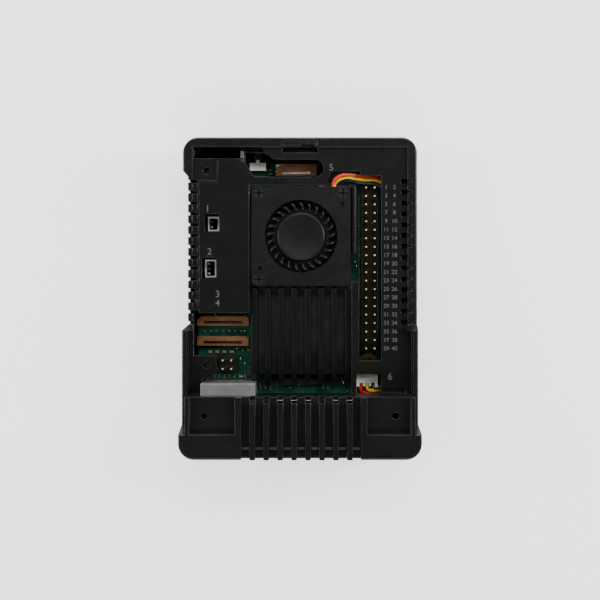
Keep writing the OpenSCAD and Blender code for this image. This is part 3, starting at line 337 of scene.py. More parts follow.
def sink_finish(name):
    """Black coating over drawn aluminium, with fine lines along the fins and the fin tops darkened
    as painted shade.
    """
    colour = bpy.context.scene.cooler_looks.sink
    made = Finish(name, colour, 0.35, specular=0.16)
    mottled = made.mottle(5 * MM, lighter(colour, 1.5), 0.3, 0.7)
    # Painted shade: the coating darkens above the fins' feet, so the fin tops read darker than the
    # floor between them.
    made.tint(made.height(SINK_FOOT, SINK_FOOT + 2.5 * MM), lighter(colour, 0.28), mottled)
    lines = made.noise(0.12 * MM, 3, (1, 0.04, 1))
    made.gloss(lines, 0.26, 0.38)
    made.relief(lines, 0.005 * MM)
    return made


def board_finish(name):
    """Solder mask over copper: wide fills with tracks between them."""
    looks = bpy.context.scene.board_looks
    made = Finish(name, looks.mask, 0.3, specular=0.15, coat_weight=0.06, coat_roughness=0.12)
    fills = made.spread(made.cells(5 * MM, metric="CHEBYCHEV"), 0.32, 0.34)
    filled = made.tint(fills, looks.track)
    along = made.ripple(0.9 * MM, "X", 1.2)
    across = made.ripple(1.1 * MM, "Y", 1.4)
    tracks = made.spread(made.sum(along, across, 0.8), 1.45, 1.5)
    tracked = made.tint(tracks, lighter(looks.track, 1.35), filled)
    made.join(tracked, made.shader.inputs["Base Color"])
    made.gloss(made.noise(1.5 * MM, 3), 0.24, 0.4)
    made.relief(made.sum(tracks, fills, 0.8), 0.02 * MM, 0.6)
    return made


def latch_finish(name):
    """Brown heat-proof plastic of the ribbon latches."""
    colour = bpy.context.scene.board_looks.latch
    made = Finish(name, colour, 0.35, subsurface_weight=0.2, subsurface_scale=0.3 * MM)
    made.mottle(3 * MM, lighter(colour, 1.5), high=0.7, detail=3)
    made.gloss(made.noise(0.8 * MM, 3), 0.28, 0.42)
    made.relief(made.noise(0.1 * MM, 2), 0.003 * MM)
    return made


def copper_finish(name):
    """Enamelled copper wire wound in fine turns."""
    made = Finish(name, (0.55, 0.2, 0.07), 0.3, metallic=1.0)
    turns = made.ripple(0.1 * MM, "Z", 0.6)
    made.tint(made.spread(turns, 0.2, 0.6), (0.7, 0.3, 0.12))
    made.gloss(made.noise(0.5 * MM), 0.22, 0.4)
    made.relief(turns, 0.03 * MM)
    return made


def pin_finish(name):
    """Gilt pins with a paler, duller top: partly the bare cut ends, partly a painted highlight on
    the tips.
    """
    made = Finish(name, (0.5, 0.34, 0.13), 0.3, metallic=0.85)
    tip = made.height(PIN_TOP - 0.14 * MM, PIN_TOP - 0.04 * MM)
    worn = made.mottle(0.6 * MM, (0.42, 0.28, 0.1))
    made.tint(tip, (0.86, 0.8, 0.64), worn)
    made.join(made.spread(tip, 0, 1, 0.16, 0.42), made.shader.inputs["Roughness"])
    made.relief(made.noise(0.05 * MM, 3), 0.002 * MM)
    return made


def ink_finish(name):
    """Pale ink of the numbers, thin in places."""
    colour = bpy.context.scene.case_looks.ink
    return grained(name, colour, lighter(colour, 0.75), (0.55, 0.7), 0.5, 0.06, 0.003)


def wire_finish(name):
    """Soft wire jacket with a faint sheen."""
    colour, other = WIRE_COLOURS[name.split("_")[1]]
    made = Finish(name, colour, 0.35, coat_weight=0.08, coat_roughness=0.25)
    made.mottle(1.4 * MM, other, detail=3)
    made.gloss(made.noise(0.5 * MM, 3), 0.34, 0.48)
    made.relief(made.noise(0.3 * MM, 3), 0.01 * MM)
    return made


def floor_finish(name):
    """Matt pale floor that gives a little light, as a lit table does."""
    stage = bpy.context.scene.stage_looks
    made = Finish(name, stage.floor, 0.7, emission_color=(1, 1, 1, 1),
                  emission_strength=stage.floor_glow)
    made.mottle(90 * MM, lighter(stage.floor, 0.98), 0.3, 0.7)
    return made


SPECIAL = {
    "case_plastic": case_finish, "case_edge": case_finish, "fan_plastic": fan_finish,
    "black_anodised": sink_finish, "board_laminate": board_finish, "latch_brown": latch_finish,
    "copper_winding": copper_finish, "deck_ink": ink_finish, "pin_gilt": pin_finish,
    "studio_floor": floor_finish, **{"wire_" + colour: wire_finish for colour in WIRE_COLOURS},
}
made_finishes = {}


def finish(name):
    """The material of that name, made when it is first asked for."""
    if name not in made_finishes:
        made = SPECIAL[name](name) if name in SPECIAL else grained(name, **GRAINED[name])
        made.material.name = name + "_finish"
        made_finishes[name] = made.material
    return made_finishes[name]


# -------------------------------------------------------------------- meshes


def placed(mesh, name, materials):
    """An object at the origin that shows a mesh with those finishes."""
    made = bpy.data.objects.new(name, mesh)
    bpy.context.scene.collection.objects.link(made)
    mesh.materials.clear()
    for material in materials:
        mesh.materials.append(finish(material))
    return made


def settled(made):
    """Turns an object with modifiers into a plain mesh in its place."""
    graph = bpy.context.evaluated_depsgraph_get()
    mesh = bpy.data.meshes.new_from_object(made.evaluated_get(graph))
    made.modifiers.clear()
    old = made.data
    made.data = mesh
    mesh.name = made.name
    bpy.data.meshes.remove(old)
    return made


def smooth(mesh):
    """Smooth shading with a crease at each edge sharper than 32 degrees."""
    mesh.shade_smooth()
    mesh.set_sharp_from_angle(angle=math.radians(32))


def weld(bm, distance=0.001):
    """Joins the corners that lie closer than a distance in mm."""
    bmesh.ops.remove_doubles(bm, verts=bm.verts, dist=distance * MM)


def mesh_from(name, bm):
    """The finished shape as a mesh with its faces outwards and no loose edges."""
    loose = [edge for edge in bm.edges if not edge.link_faces]
    bmesh.ops.delete(bm, geom=loose, context="EDGES")
    bmesh.ops.recalc_face_normals(bm, faces=bm.faces)
    mesh = bpy.data.meshes.new(name)
    bm.to_mesh(mesh)
    bm.free()
    return mesh


def joined_copy(node, name):
    """A CAD node's shape as a mesh whose flat faces are whole instead of loose triangles."""
    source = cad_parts[node].data
    bm = bmesh.new()
    corners = [bm.verts.new(v.co) for v in source.vertices]
    for face in source.polygons:
        bm.faces.new([corners[i] for i in face.vertices])
    weld(bm, 0.002)
    bmesh.ops.dissolve_degenerate(bm, edges=bm.edges, dist=0.001 * MM)
    bmesh.ops.dissolve_limit(bm, angle_limit=math.radians(0.6), verts=bm.verts, edges=bm.edges)
    mesh = bpy.data.meshes.new(name)
    bm.to_mesh(mesh)
    bm.free()
    return mesh


def edge_widths(bm, width, weight):
    """Rounding of each sharp edge, narrow enough that it never meets its neighbours'."""
    shortest, share, in_line = 0.001 * MM, 0.42, -0.85
    widths = {}
    for edge in bm.edges:
        if len(edge.link_faces) != 2 or edge.calc_face_angle(0) < math.radians(30):
            continue
        room = width * (weight(edge) if weight else 1.0)
        for vert in edge.verts:
            along = (edge.other_vert(vert).co - vert.co).normalized()
            for other in vert.link_edges:
                out = other.other_vert(vert).co - vert.co
                cosine = along.dot(out) / max(out.length, shortest)
                if other is not edge and cosine > in_line:
                    room = min(room, share * out.length * math.sqrt(max(0, 1 - cosine * cosine)))
        widths[edge] = room if room > 0.02 * MM else 0.0
    return widths


def torn(mesh):
    """True if a face folds over itself, so that its triangles cover more than the face."""
    bm = bmesh.new()
    bm.from_mesh(mesh)
    flat = sum(face.calc_area() for face in bm.faces)
    bmesh.ops.triangulate(bm, faces=bm.faces[:])
    cut = sum(face.calc_area() for face in bm.faces)
    bm.free()
    return cut > flat * 1.002


def round_edges(made, width, segments=2, weight=None, edge_slot=0):
    """Rounds the sharp edges of a piece. weight(edge) gives a share of the width for an edge."""
    sharp = made.data.copy()
    for trial in (1.0, 0.6, 0.35, 0.2):
        bm = bmesh.new()
        bm.from_mesh(sharp)
        shares = bm.edges.layers.float.new("bevel_weight_edge")
        for edge, room in edge_widths(bm, width * trial, weight).items():
            edge[shares] = room / width
        bm.to_mesh(made.data)
        bm.free()
        bevel = made.modifiers.new("rounding", "BEVEL")
        bevel.limit_method = "WEIGHT"
        bevel.width = width
        bevel.segments = segments
        bevel.use_clamp_overlap = False
        bevel.material = edge_slot
        made.data.shade_smooth()
        made.modifiers.new("flat faces", "WEIGHTED_NORMAL").keep_sharp = True
        settled(made)
        if not torn(made.data):
            break
        made.data = sharp.copy()
    bpy.data.meshes.remove(sharp)
    made.data.name = made.name
    return made


def softened(node, name, body, material, width=0.1, slot=None, edge=None, weight=None, segments=2):
    """A CAD node's shape with rounded edges and a real finish, shown in the node's place."""
    materials = [material, edge] if edge else [material]
    made = placed(joined_copy(node, name), name, materials)
    round_edges(made, width * MM, segments, weight, 1 if edge else 0)
    return shown(made, body, slot or material, node)


def shown(made, body, slot, *nodes):
    """The piece rides on a body and stands for CAD nodes, which it hides; the slot it is given is
    not used.
    """
    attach(made, body)
    if nodes:
        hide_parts(*nodes)
    return made


def turned(bm, profile, centre, steps=64, closed=True):
    """Adds a ring of faces: profile is a closed or open loop of (radius, height) points."""
    rings = []
    for step in range(steps):
        angle = 2 * math.pi * step / steps
        out = Vector((math.cos(angle), math.sin(angle), 0))
        rings.append([bm.verts.new(centre + out * r + Vector((0, 0, z))) for r, z in profile])
    for a, b in zip(rings, rings[1:] + rings[:1]):
        for i in range(len(profile) if closed else len(profile) - 1):
            k = (i + 1) % len(profile)
            bm.faces.new((a[i], b[i], b[k], a[k]))


def arc(centre, radius, start, end, steps):
    """Points (radius, height) on an arc, with angles in degrees."""
    angles = [math.radians(start + (end - start) * i / steps) for i in range(steps + 1)]
    return [(centre[0] + radius * math.cos(a), centre[1] + radius * math.sin(a)) for a in angles]


def slab(bm, outline, z0, z1):
    """Adds an upright solid with a plan outline between two heights."""
    bottom = [bm.verts.new((x, y, z0)) for x, y in outline]
    top = [bm.verts.new((x, y, z1)) for x, y in outline]
    bm.faces.new(bottom[::-1])
    bm.faces.new(top)
    for i in range(len(outline)):
        k = (i + 1) % len(outline)
        bm.faces.new((bottom[i], bottom[k], top[k], top[i]))


def box_outline(x0, y0, x1, y1):
    """Corners of an upright block in plan, for slab."""
    return [(x0, y0), (x1, y0), (x1, y1), (x0, y1)]


def modelled(name, bm, material, slot, *nodes, width=None):
    """A piece of the unit from a shape made here, with rounded edges if a width in mm is given."""
    made = placed(mesh_from(name, bm), name, [material])
    if width:
        round_edges(made, width * MM)
    return shown(made, UNIT, slot, *nodes)


def small_block(name, size, chamfer):
    """A block about the origin, standing on z 0, with chamfered edges."""
    bm = bmesh.new()
    bmesh.ops.create_cube(bm, size=1)
    bmesh.ops.scale(bm, vec=size, verts=bm.verts)
    bmesh.ops.translate(bm, vec=(0, 0, size[2] / 2), verts=bm.verts)
    bmesh.ops.bevel(bm, geom=bm.edges[:], offset=chamfer, segments=1, affect="EDGES")
    return mesh_from(name, bm)


# ------------------------------------------------------------ geometry nodes


class NodeTree:
    """A Geometry Nodes tree with named inputs."""

    def __init__(self, name, inputs):
        self.tree = bpy.data.node_groups.new(name, "GeometryNodeTree")
        sockets = self.tree.interface
        sockets.new_socket("Geometry", in_out="OUTPUT", socket_type="NodeSocketGeometry")
        sockets.new_socket("Geometry", in_out="INPUT", socket_type="NodeSocketGeometry")
        for label, kind in inputs:
            sockets.new_socket(label, in_out="INPUT", socket_type="NodeSocket" + kind)
        self.input = self.node("NodeGroupInput")
        self.output = self.node("NodeGroupOutput")

    def node(self, kind, values=None, **settings):
        made = self.tree.nodes.new(kind)
        for key, value in settings.items():
            setattr(made, key, value)
        for socket, value in (values or {}).items():
            if isinstance(value, bpy.types.NodeSocket):
                self.tree.links.new(value, made.inputs[socket])
            else:
                made.inputs[socket].default_value = value
        return made

    def given(self, label):
        return self.input.outputs[label]

    def math(self, operation, a, b=0.0):
        return self.node("ShaderNodeMath", {0: a, 1: b}, operation=operation).outputs[0]

    def finish(self, geometry):
        real = self.node("GeometryNodeRealizeInstances", {0: geometry}).outputs[0]
        coated = self.node("GeometryNodeSetMaterial", {0: real, "Material": self.given("Material")})
        self.tree.links.new(coated.outputs[0], self.output.inputs[0])
        return self.tree


def grid_tree():
    """Copies of a piece in columns and rows about a centre."""
    t = NodeTree("copies in rows", [("Piece", "Object"), ("Width", "Float"), ("Length", "Float"),
                                    ("Columns", "Int"), ("Rows", "Int"), ("Centre", "Vector"),
                                    ("Material", "Material")])
    grid = t.node("GeometryNodeMeshGrid", {"Size X": t.given("Width"), "Size Y": t.given("Length"),
                                           "Vertices X": t.given("Columns"),
                                           "Vertices Y": t.given("Rows")})
    moved = t.node("GeometryNodeTransform", {0: grid.outputs[0], "Translation": t.given("Centre")})
    piece = t.node("GeometryNodeObjectInfo", {"Object": t.given("Piece")})
    copies = t.node("GeometryNodeInstanceOnPoints", {"Points": moved.outputs[0],
                                                     "Instance": piece.outputs["Geometry"]})
    return t.finish(copies.outputs[0])


def scatter_tree():
    """Copies of a piece on the points of a mesh, turned and scaled by its attributes."""
    t = NodeTree("copies on points", [("Piece", "Object"), ("Material", "Material")])
    turn = t.node("GeometryNodeInputNamedAttribute", {"Name": "turn"}, data_type="FLOAT")
    size = t.node("GeometryNodeInputNamedAttribute", {"Name": "size"}, data_type="FLOAT_VECTOR")
    angle = t.node("ShaderNodeCombineXYZ", {"Z": turn.outputs[0]})
    piece = t.node("GeometryNodeObjectInfo", {"Object": t.given("Piece")})
    copies = t.node("GeometryNodeInstanceOnPoints",
                    {"Points": t.given("Geometry"), "Instance": piece.outputs["Geometry"],
                     "Rotation": angle.outputs[0], "Scale": size.outputs[0]})
    return t.finish(copies.outputs[0])


def blade_tree():
    """A ring of blades that bend as they run out, low at the hub and at the rim."""
    narrowing = 0.15
    rise_from, rise_to, fall_from, fall_to = 0.1, 0.32, 0.52, 0.7
    t = NodeTree("impeller blades", [("Blades", "Int"), ("Inner Radius", "Float"),
                                     ("Outer Radius", "Float"), ("Height", "Float"),
                                     ("Thickness", "Float"), ("Sweep", "Float"),
                                     ("Root Height", "Float"), ("Centre", "Vector"),
                                     ("Material", "Material")])
    reach = t.math("SUBTRACT", t.given("Outer Radius"), t.given("Inner Radius"))
    size = t.node("ShaderNodeCombineXYZ", {"X": 1.0, "Y": t.given("Thickness"),
                                           "Z": t.given("Height")})
    bar = t.node("GeometryNodeMeshCube", {"Size": size.outputs[0], "Vertices X": 13,
                                          "Vertices Y": 2, "Vertices Z": 2})
    spot = t.node("ShaderNodeSeparateXYZ", {0: t.node("GeometryNodeInputPosition").outputs[0]})
    share = t.math("ADD", spot.outputs[0], 0.5)
    radius = t.math("ADD", t.math("MULTIPLY", share, reach), t.given("Inner Radius"))
    bend = t.math("MULTIPLY", t.math("MULTIPLY", share, share), t.given("Sweep"))
    taper = t.math("SUBTRACT", 1.0, t.math("MULTIPLY", share, narrowing))
    side = t.math("MULTIPLY", spot.outputs[1], taper)
    sine, cosine = t.math("SINE", bend), t.math("COSINE", bend)
    x = t.math("SUBTRACT", t.math("MULTIPLY", radius, cosine), t.math("MULTIPLY", side, sine))
    y = t.math("ADD", t.math("MULTIPLY", radius, sine), t.math("MULTIPLY", side, cosine))
    foot = t.math("ADD", spot.outputs[2], t.math("MULTIPLY", t.given("Height"), 0.5))
    rise = t.node("ShaderNodeMapRange", {0: share, 1: rise_from, 2: rise_to,
                                         3: t.given("Root Height"), 4: 1.0}).outputs[0]
    fall = t.node("ShaderNodeMapRange", {0: share, 1: fall_from, 2: fall_to, 3: 1.0,
                                         4: t.given("Root Height")}).outputs[0]
    z = t.math("MULTIPLY", foot, t.math("MINIMUM", rise, fall))
    bent = t.node("ShaderNodeCombineXYZ", {"X": x, "Y": y, "Z": z})
    blade = t.node("GeometryNodeSetPosition", {0: bar.outputs[0], "Position": bent.outputs[0]})
    points = t.node("GeometryNodePoints", {"Count": t.given("Blades")})
    step = t.math("DIVIDE", 2 * math.pi, t.given("Blades"))
    angle = t.math("MULTIPLY", t.node("GeometryNodeInputIndex").outputs[0], step)
    turn = t.node("ShaderNodeCombineXYZ", {"Z": angle})
    ring = t.node("GeometryNodeInstanceOnPoints", {"Points": points.outputs[0],
                                                   "Instance": blade.outputs[0],
                                                   "Rotation": turn.outputs[0]})
    moved = t.node("GeometryNodeTransform", {0: ring.outputs[0], "Translation": t.given("Centre")})
    return t.finish(moved.outputs[0])


def tube_tree():
    """A round tube along a chain of edges, smoothed through points at even steps on it."""
    t = NodeTree("tube along a path", [("Radius", "Float"), ("Spacing", "Float"),
                                       ("Step", "Float"), ("Sides", "Int"),
                                       ("Material", "Material")])
    line = t.node("GeometryNodeMeshToCurve", {0: t.given("Geometry")})
    points = t.node("GeometryNodeResampleCurve", {0: line.outputs[0],
                                                  "Length": t.given("Spacing")}, mode="LENGTH")
    curve = t.node("GeometryNodeCurveSplineType", {0: points.outputs[0]},
                   spline_type="CATMULL_ROM")
    even = t.node("GeometryNodeResampleCurve", {0: curve.outputs[0], "Length": t.given("Step")},
                  mode="LENGTH")
    ring = t.node("GeometryNodeCurvePrimitiveCircle", {"Resolution": t.given("Sides"),
                                                       "Radius": t.given("Radius")})
    tube = t.node("GeometryNodeCurveToMesh", {0: even.outputs[0], "Profile Curve": ring.outputs[0],
                                              "Fill Caps": True})
    return t.finish(tube.outputs[0])


TREES = {"grid": grid_tree, "scatter": scatter_tree, "blades": blade_tree, "tube": tube_tree}


def grown(name, tree, material, host=None, **values):
    """An object whose mesh is a Geometry Nodes tree's result on a host mesh."""
    group = bpy.data.node_groups.get(tree) or TREES[tree]()
    group.name = tree
    made = placed(host or bpy.data.meshes.new(name), name, [material])
    modifier = made.modifiers.new(tree, "NODES")
    modifier.node_group = group
    given = {k.replace("_", " ").title(): v for k, v in values.items()}
    given["Material"] = finish(material)
    for item in group.interface.items_tree:
        if item.in_out == "INPUT" and item.name in given:
            modifier[item.identifier] = given[item.name]
    bpy.context.view_layer.update()
    settled(made)
    smooth(made.data)
    return made


def copies(name, tree, material, piece_mesh, host=None, **values):
    """Copies of a small mesh, by a tree that takes it as its Piece."""
    pattern = placed(piece_mesh, name + "_pattern", [material])
    made = grown(name, tree, material, host, piece=pattern, **values)
    bpy.data.objects.remove(pattern)
    return made


def points_mesh(name, places):
    """Points with a turn and a size each: places is a list of (point, turn, (x, y, z) scale)."""
    mesh = bpy.data.meshes.new(name)
    mesh.from_pydata([p for p, _, _ in places], [], [])
    turn = mesh.attributes.new("turn", "FLOAT", "POINT")
    turn.data.foreach_set("value", [a for _, a, _ in places])
    size = mesh.attributes.new("size", "FLOAT_VECTOR", "POINT")
    size.data.foreach_set("vector", [c for _, _, s in places for c in s])
    return mesh


# -------------------------------------------------------------------- pieces


def low(node):
    """Lowest corner of a CAD node's box."""
    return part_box(node)[0]


def high(node):
    """Highest corner of a CAD node's box."""
    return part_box(node)[1]


def middle(node):
    return (low(node) + high(node)) / 2


class Maker(bpy.types.Operator):
    """Shared form of the operators that make pieces: each has its own make"""

    bl_options = {"REGISTER", "UNDO"}

    def execute(self, context):
        self.make(context.scene)
        return {"FINISHED"}


CASE_HALF = (high("upper_case") - low("upper_case")) / 2
SINK_FOOT = low("heat_sink").z + 1.3 * MM
PIN_TOP = high("gpio_pins").z


def edge_middle(edge):
    return (edge.verts[0].co + edge.verts[1].co) / 2


def case_weight(edge):
    """The case's outer top edges are rounded fully, the others by the small rounding."""
    looks = bpy.context.scene.case_looks
    half, corner, ridges_half = CASE_HALF, 4.7 * MM, 18.5 * MM
    spot = edge_middle(edge)
    past = Vector((abs(spot.x) - half.x + corner, abs(spot.y) - half.y + corner))
    outward = past.length if min(past) > 0 else max(past)
    on_outline = abs(outward - corner) < 0.03 * MM
    ups = sorted(face.normal.z for face in edge.link_faces)
    on_top = ups[1] > 0.9 and abs(ups[0]) < 0.1
    by_ridges = abs(spot.x) < ridges_half and spot.y < 0
    if on_outline and on_top and not by_ridges:
        return 1.0
    return looks.edge_round / looks.outer_round


class MakeCase(Maker):
    """The moulded upper case, the base plate, the cover's catch, the button and the light pipe"""

    bl_idname = "computer.make_case"
    bl_label = "Case"

    def make(self, scene):
        looks = scene.case_looks
        made = placed(joined_copy("upper_case", "case_top"), "case_top",
                      ["case_plastic", "case_edge"])
        round_edges(made, looks.outer_round, 4, case_weight, 1)
        shown(made, UNIT, "case_plastic", "upper_case")
        softened("base_plate", "case_bottom", UNIT, "case_plastic", 0.15, edge="case_edge")
        softened("cover_catch", "cover_snap", UNIT, "case_plastic", 0.12, edge="case_edge")
        softened("power_button", "case_push_button", "case_button", "case_plastic", 0.15,
                 edge="case_edge")
        softened("light_pipe", "light_guide", UNIT, "clear_plastic", 0.1)
        self.make_lips()
        self.make_shades()

    def make_shades(self):
        """Painted shade: a black floor under the catch's notch, and black strips on the stacked
        jacks under the slots.
        """
        bm = bmesh.new()
        catch, half, wall, up = middle("cover_catch").x, 5.5 * MM, 2.95 * MM, 6.9 * MM
        inner, under = high("upper_case").y - wall, high("circuit_board").z + up
        slab(bm, box_outline(catch - half, inner - 2 * MM, catch + half, inner),
             under - 0.3 * MM, under)
        side, front, back, lift, shade_top = 0.2 * MM, 2.4 * MM, 0.1 * MM, 0.01 * MM, 0.12 * MM
        for node in ("usb3_shell", "usb2_shell"):
            a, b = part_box(node)
            slab(bm, box_outline(a.x + side, b.y - front, b.x - side, b.y - back),
                 b.z + lift, b.z + shade_top)
        modelled("dark_strips", bm, "slot_dark", "case_plastic", width=0.04)

    def make_lips(self):
        """A low rounded ridge across each channel of the jack cover."""
        count, pitch, y, z = 9, 4, -44.1 * MM, 24.9 * MM
        middle_x = middle("heat_sink").x - 0.8 * MM
        places = [((middle_x + (i - 4) * pitch * MM, y, z), 0.0, (1, 1, 1)) for i in range(count)]
        lip = small_block("lip", (2.3 * MM, 0.55 * MM, 0.32 * MM), 0.14 * MM)
        # The lips wear the lighter edge finish, a painted highlight across each channel.
        made = copies("channel_lips", "scatter", "case_edge", lip, points_mesh("lips", places))
        shown(made, UNIT, "case_plastic")


class MakeFeet(Maker):
    """Rubber feet with a soft rim, and the case screws"""

    bl_idname = "computer.make_feet"
    bl_label = "Feet and screws"

    def make(self, scene):
        softened("rubber_feet", "foot_pads", UNIT, "foot_rubber", 0.35, segments=3)
        softened("case_screws", "case_bolts", UNIT, "screw_steel", 0.08)


def solder_dot(name, radius, height):
    """A low dome for solder, with ten faces round."""
    bm = bmesh.new()
    shoulder, top = (radius * 0.8, height * 0.6), (radius * 0.45, height)
    turned(bm, [(0, 0), (radius, 0), shoulder, top, (0, height)], Vector(), 10)
    weld(bm)
    return mesh_from(name, bm)


def row(x, y, dx, dy, count, turn=0.0):
    """Places along a line, in mm on the board: (x, y, turn)."""
    return [(x + dx * i, y + dy * i, turn) for i in range(count)]


class MakeBoard(Maker):
    """The circuit board with its plated holes, solder, printed outlines and small parts"""

    bl_idname = "computer.make_board"
    bl_label = "Circuit board"

    def make(self, scene):
        softened("circuit_board", "main_board", UNIT, "board_laminate", 0.08)
        self.top = high("circuit_board").z
        self.make_rings()
        self.make_vias(scene.board_looks)
        self.make_parts()
        self.make_outlines()

    def make_rings(self):
        """Gold rings round the four mounting holes."""
        bm = bmesh.new()
        edge_low, edge_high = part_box("circuit_board")
        inset, pitch, bore, rim, thick = 3.5 * MM, 58 * MM, 1.4 * MM, 3 * MM, 0.03 * MM
        for x in (edge_low.x + inset, edge_high.x - inset):
            for y in (edge_high.y - inset, edge_high.y - inset - pitch):
                profile = [(bore, 0), (rim, 0), (rim, thick), (bore, thick)]
                turned(bm, profile, Vector((x, y, self.top)), 48)
        modelled("hole_rings", bm, "gold_pins", "gold_pins")

    def make_vias(self, looks):
        """Plated holes scattered over the board, on a half-millimetre grid."""
        draw = random.Random(looks.seed)
        edge_low, edge_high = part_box("circuit_board")
        margin, per_metre = 1.2 * MM, 2000
        places = []
        for _ in range(looks.vias):
            x = draw.uniform(edge_low.x + margin, edge_high.x - margin)
            y = draw.uniform(edge_low.y + margin, edge_high.y - margin)
            snapped = (round(x * per_metre) / per_metre, round(y * per_metre) / per_metre, self.top)
            size = draw.choice((0.8, 1.0, 1.2))
            places.append((snapped, 0.0, (size, size, 1)))
        dot = solder_dot("via", 0.18 * MM, 0.03 * MM)
        made = copies("board_vias", "scatter", "gold_pins", dot, points_mesh("via_points", places))
        shown(made, UNIT, "gold_pins")

    def make_parts(self):
        """Chip resistors and capacitors: a body and a solder cap at each end."""
        quarter = math.pi / 2
        spots = (row(-29.5, -10.9, 1.9, 0, 7) + row(-13.4, -4.2, 0, -1.7, 9, quarter)
                 + row(-28.2, -24.8, 1.6, 0, 8, quarter) + row(-12.2, -28.3, 1.5, 0, 3, quarter)
                 + row(7.2, -28.4, 1.5, 0, 2, quarter) + row(9.6, -25.4, 1.7, 0, 4)
                 + row(-17.6, -16.9, 1.5, 0, 3, quarter) + row(-10.9, -26.4, 2.1, 0, 2)
                 + row(-15.2, 36.6, 1.6, 0, 4) + row(5.9, 37.2, 1.5, 0, 2, quarter)
                 + row(16.3, -22.5, 0, 1.5, 3) + row(-30.2, -19.2, 0, -1.4, 3))
        reach = 0.45
        bodies, caps = [], []
        for x, y, turn in spots:
            bodies.append(((x * MM, y * MM, self.top), turn, (1, 1, 1)))
            for step in (-reach, reach):
                along, across = step * math.cos(turn), step * math.sin(turn)
                cap = ((x + along) * MM, (y + across) * MM, self.top)
                caps.append((cap, turn, (1, 1, 1)))
        body = small_block("part_body", (0.7 * MM, 0.5 * MM, 0.35 * MM), 0.03 * MM)
        cap = small_block("part_cap", (0.24 * MM, 0.54 * MM, 0.38 * MM), 0.05 * MM)
        made = copies("chip_parts", "scatter", "ceramic", body, points_mesh("part_points", bodies))
        shown(made, UNIT, "ceramic")
        made = copies("chip_part_caps", "scatter", "solder", cap, points_mesh("cap_points", caps))
        shown(made, UNIT, "plated_metal")

    def make_outlines(self):
        """Thin printed frames round the sockets and chips."""
        bm = bmesh.new()
        gap, line, thick = 0.35 * MM, 0.12 * MM, 0.015 * MM
        for node in ("power_chip", "memory_chip", "io_controller", "gpio_header", "pcie_socket",
                     "wireless_can", "fan_socket"):
            a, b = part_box(node)
            x0, y0, x1, y1 = a.x - gap, a.y - gap, b.x + gap, b.y + gap
            for bar in ((x0, y0, x1, y0 + line), (x0, y1 - line, x1, y1),
                        (x0, y0 + line, x0 + line, y1 - line),
                        (x1 - line, y0 + line, x1, y1 - line)):
                slab(bm, box_outline(*bar), self.top, self.top + thick)
        modelled("board_print", bm, "board_ink", None)


class MakeChips(Maker):
    """Processor, chips and the larger parts on the board"""

    bl_idname = "computer.make_chips"
    bl_label = "Chips"

    def make(self, scene):
        softened("processor_substrate", "processor_base", UNIT, "board_laminate", 0.06)
        softened("processor_lid", "processor_cap", UNIT, "plated_metal", 0.2, segments=3)
        softened("thermal_pad", "soft_pad", UNIT, "thermal_pad", 0.12)
        for node in ("memory_chip", "io_controller", "power_chip", "small_chips"):
            softened(node, node + "_body", UNIT, "chip_black", 0.08)
        softened("wireless_can", "wireless_shield", UNIT, "plated_metal", 0.15)
        softened("inductors", "power_chokes", UNIT, "ferrite", 0.2)
        softened("capacitors", "chip_capacitors", UNIT, "ceramic", 0.06)
        softened("status_led", "light_source", UNIT, "led_lens", 0.1)


def sink_weight(edge):
    """The edges below the fins' feet are rounded less."""
    return 1.0 if edge_middle(edge).z > SINK_FOOT else 0.4


class MakeHeatSink(Maker):
    """The heat sink with its eight curving fins and the rail beside the blower"""

    bl_idname = "computer.make_heat_sink"
    bl_label = "Heat sink"

    def make(self, scene):
        softened("heat_sink", "finned_sink", UNIT, "black_anodised", 0.22, weight=sink_weight,
                 segments=3)


class MakeBlower(Maker):
    """The blower's housing and lid, its screws, coils, bearing, shaft and magnet"""

    bl_idname = "computer.make_blower"
    bl_label = "Blower"

    def make(self, scene):
        softened("fan_housing", "blower_housing", UNIT, "fan_plastic", 0.2)
        softened("fan_lid", "blower_lid", UNIT, "fan_plastic", 0.18, segments=3)
        softened("fan_screws", "blower_screws", UNIT, "black_steel", 0.08, slot="screw_steel")
        self.make_slots()
        softened("fan_stator", "blower_coils", UNIT, "copper_winding", 0.15)
        softened("fan_bearing", "blower_bearing", UNIT, "bearing_bronze", 0.05)
        softened("fan_shaft", "blower_shaft", "fan_rotor", "screw_steel", 0.08)
        softened("fan_magnet", "blower_magnet", "fan_rotor", "magnet", 0.08)

    def make_slots(self):
        """Painted shade: dark floors in the cross slots of the three lid screws."""
        centre, half = middle("fan_lid"), (high("fan_lid").x - low("fan_lid").x) / 2
        out_x, out_y = half - 2.2 * MM, half - 1.9 * MM
        floor = low("fan_lid").z + 0.4 * MM
        places = [((centre.x + side * out_x, centre.y + end * out_y, floor), turn, (1, 1, 1))
                  for side, end in ((-1, 1), (1, 1), (-1, -1)) for turn in (0.0, math.pi / 2)]
        slot = small_block("slot", (3.15 * MM, 0.46 * MM, 0.04 * MM), 0.01 * MM)
        made = copies("screw_slots", "scatter", "slot_dark", slot, points_mesh("slots", places))
        shown(made, UNIT, "screw_steel")


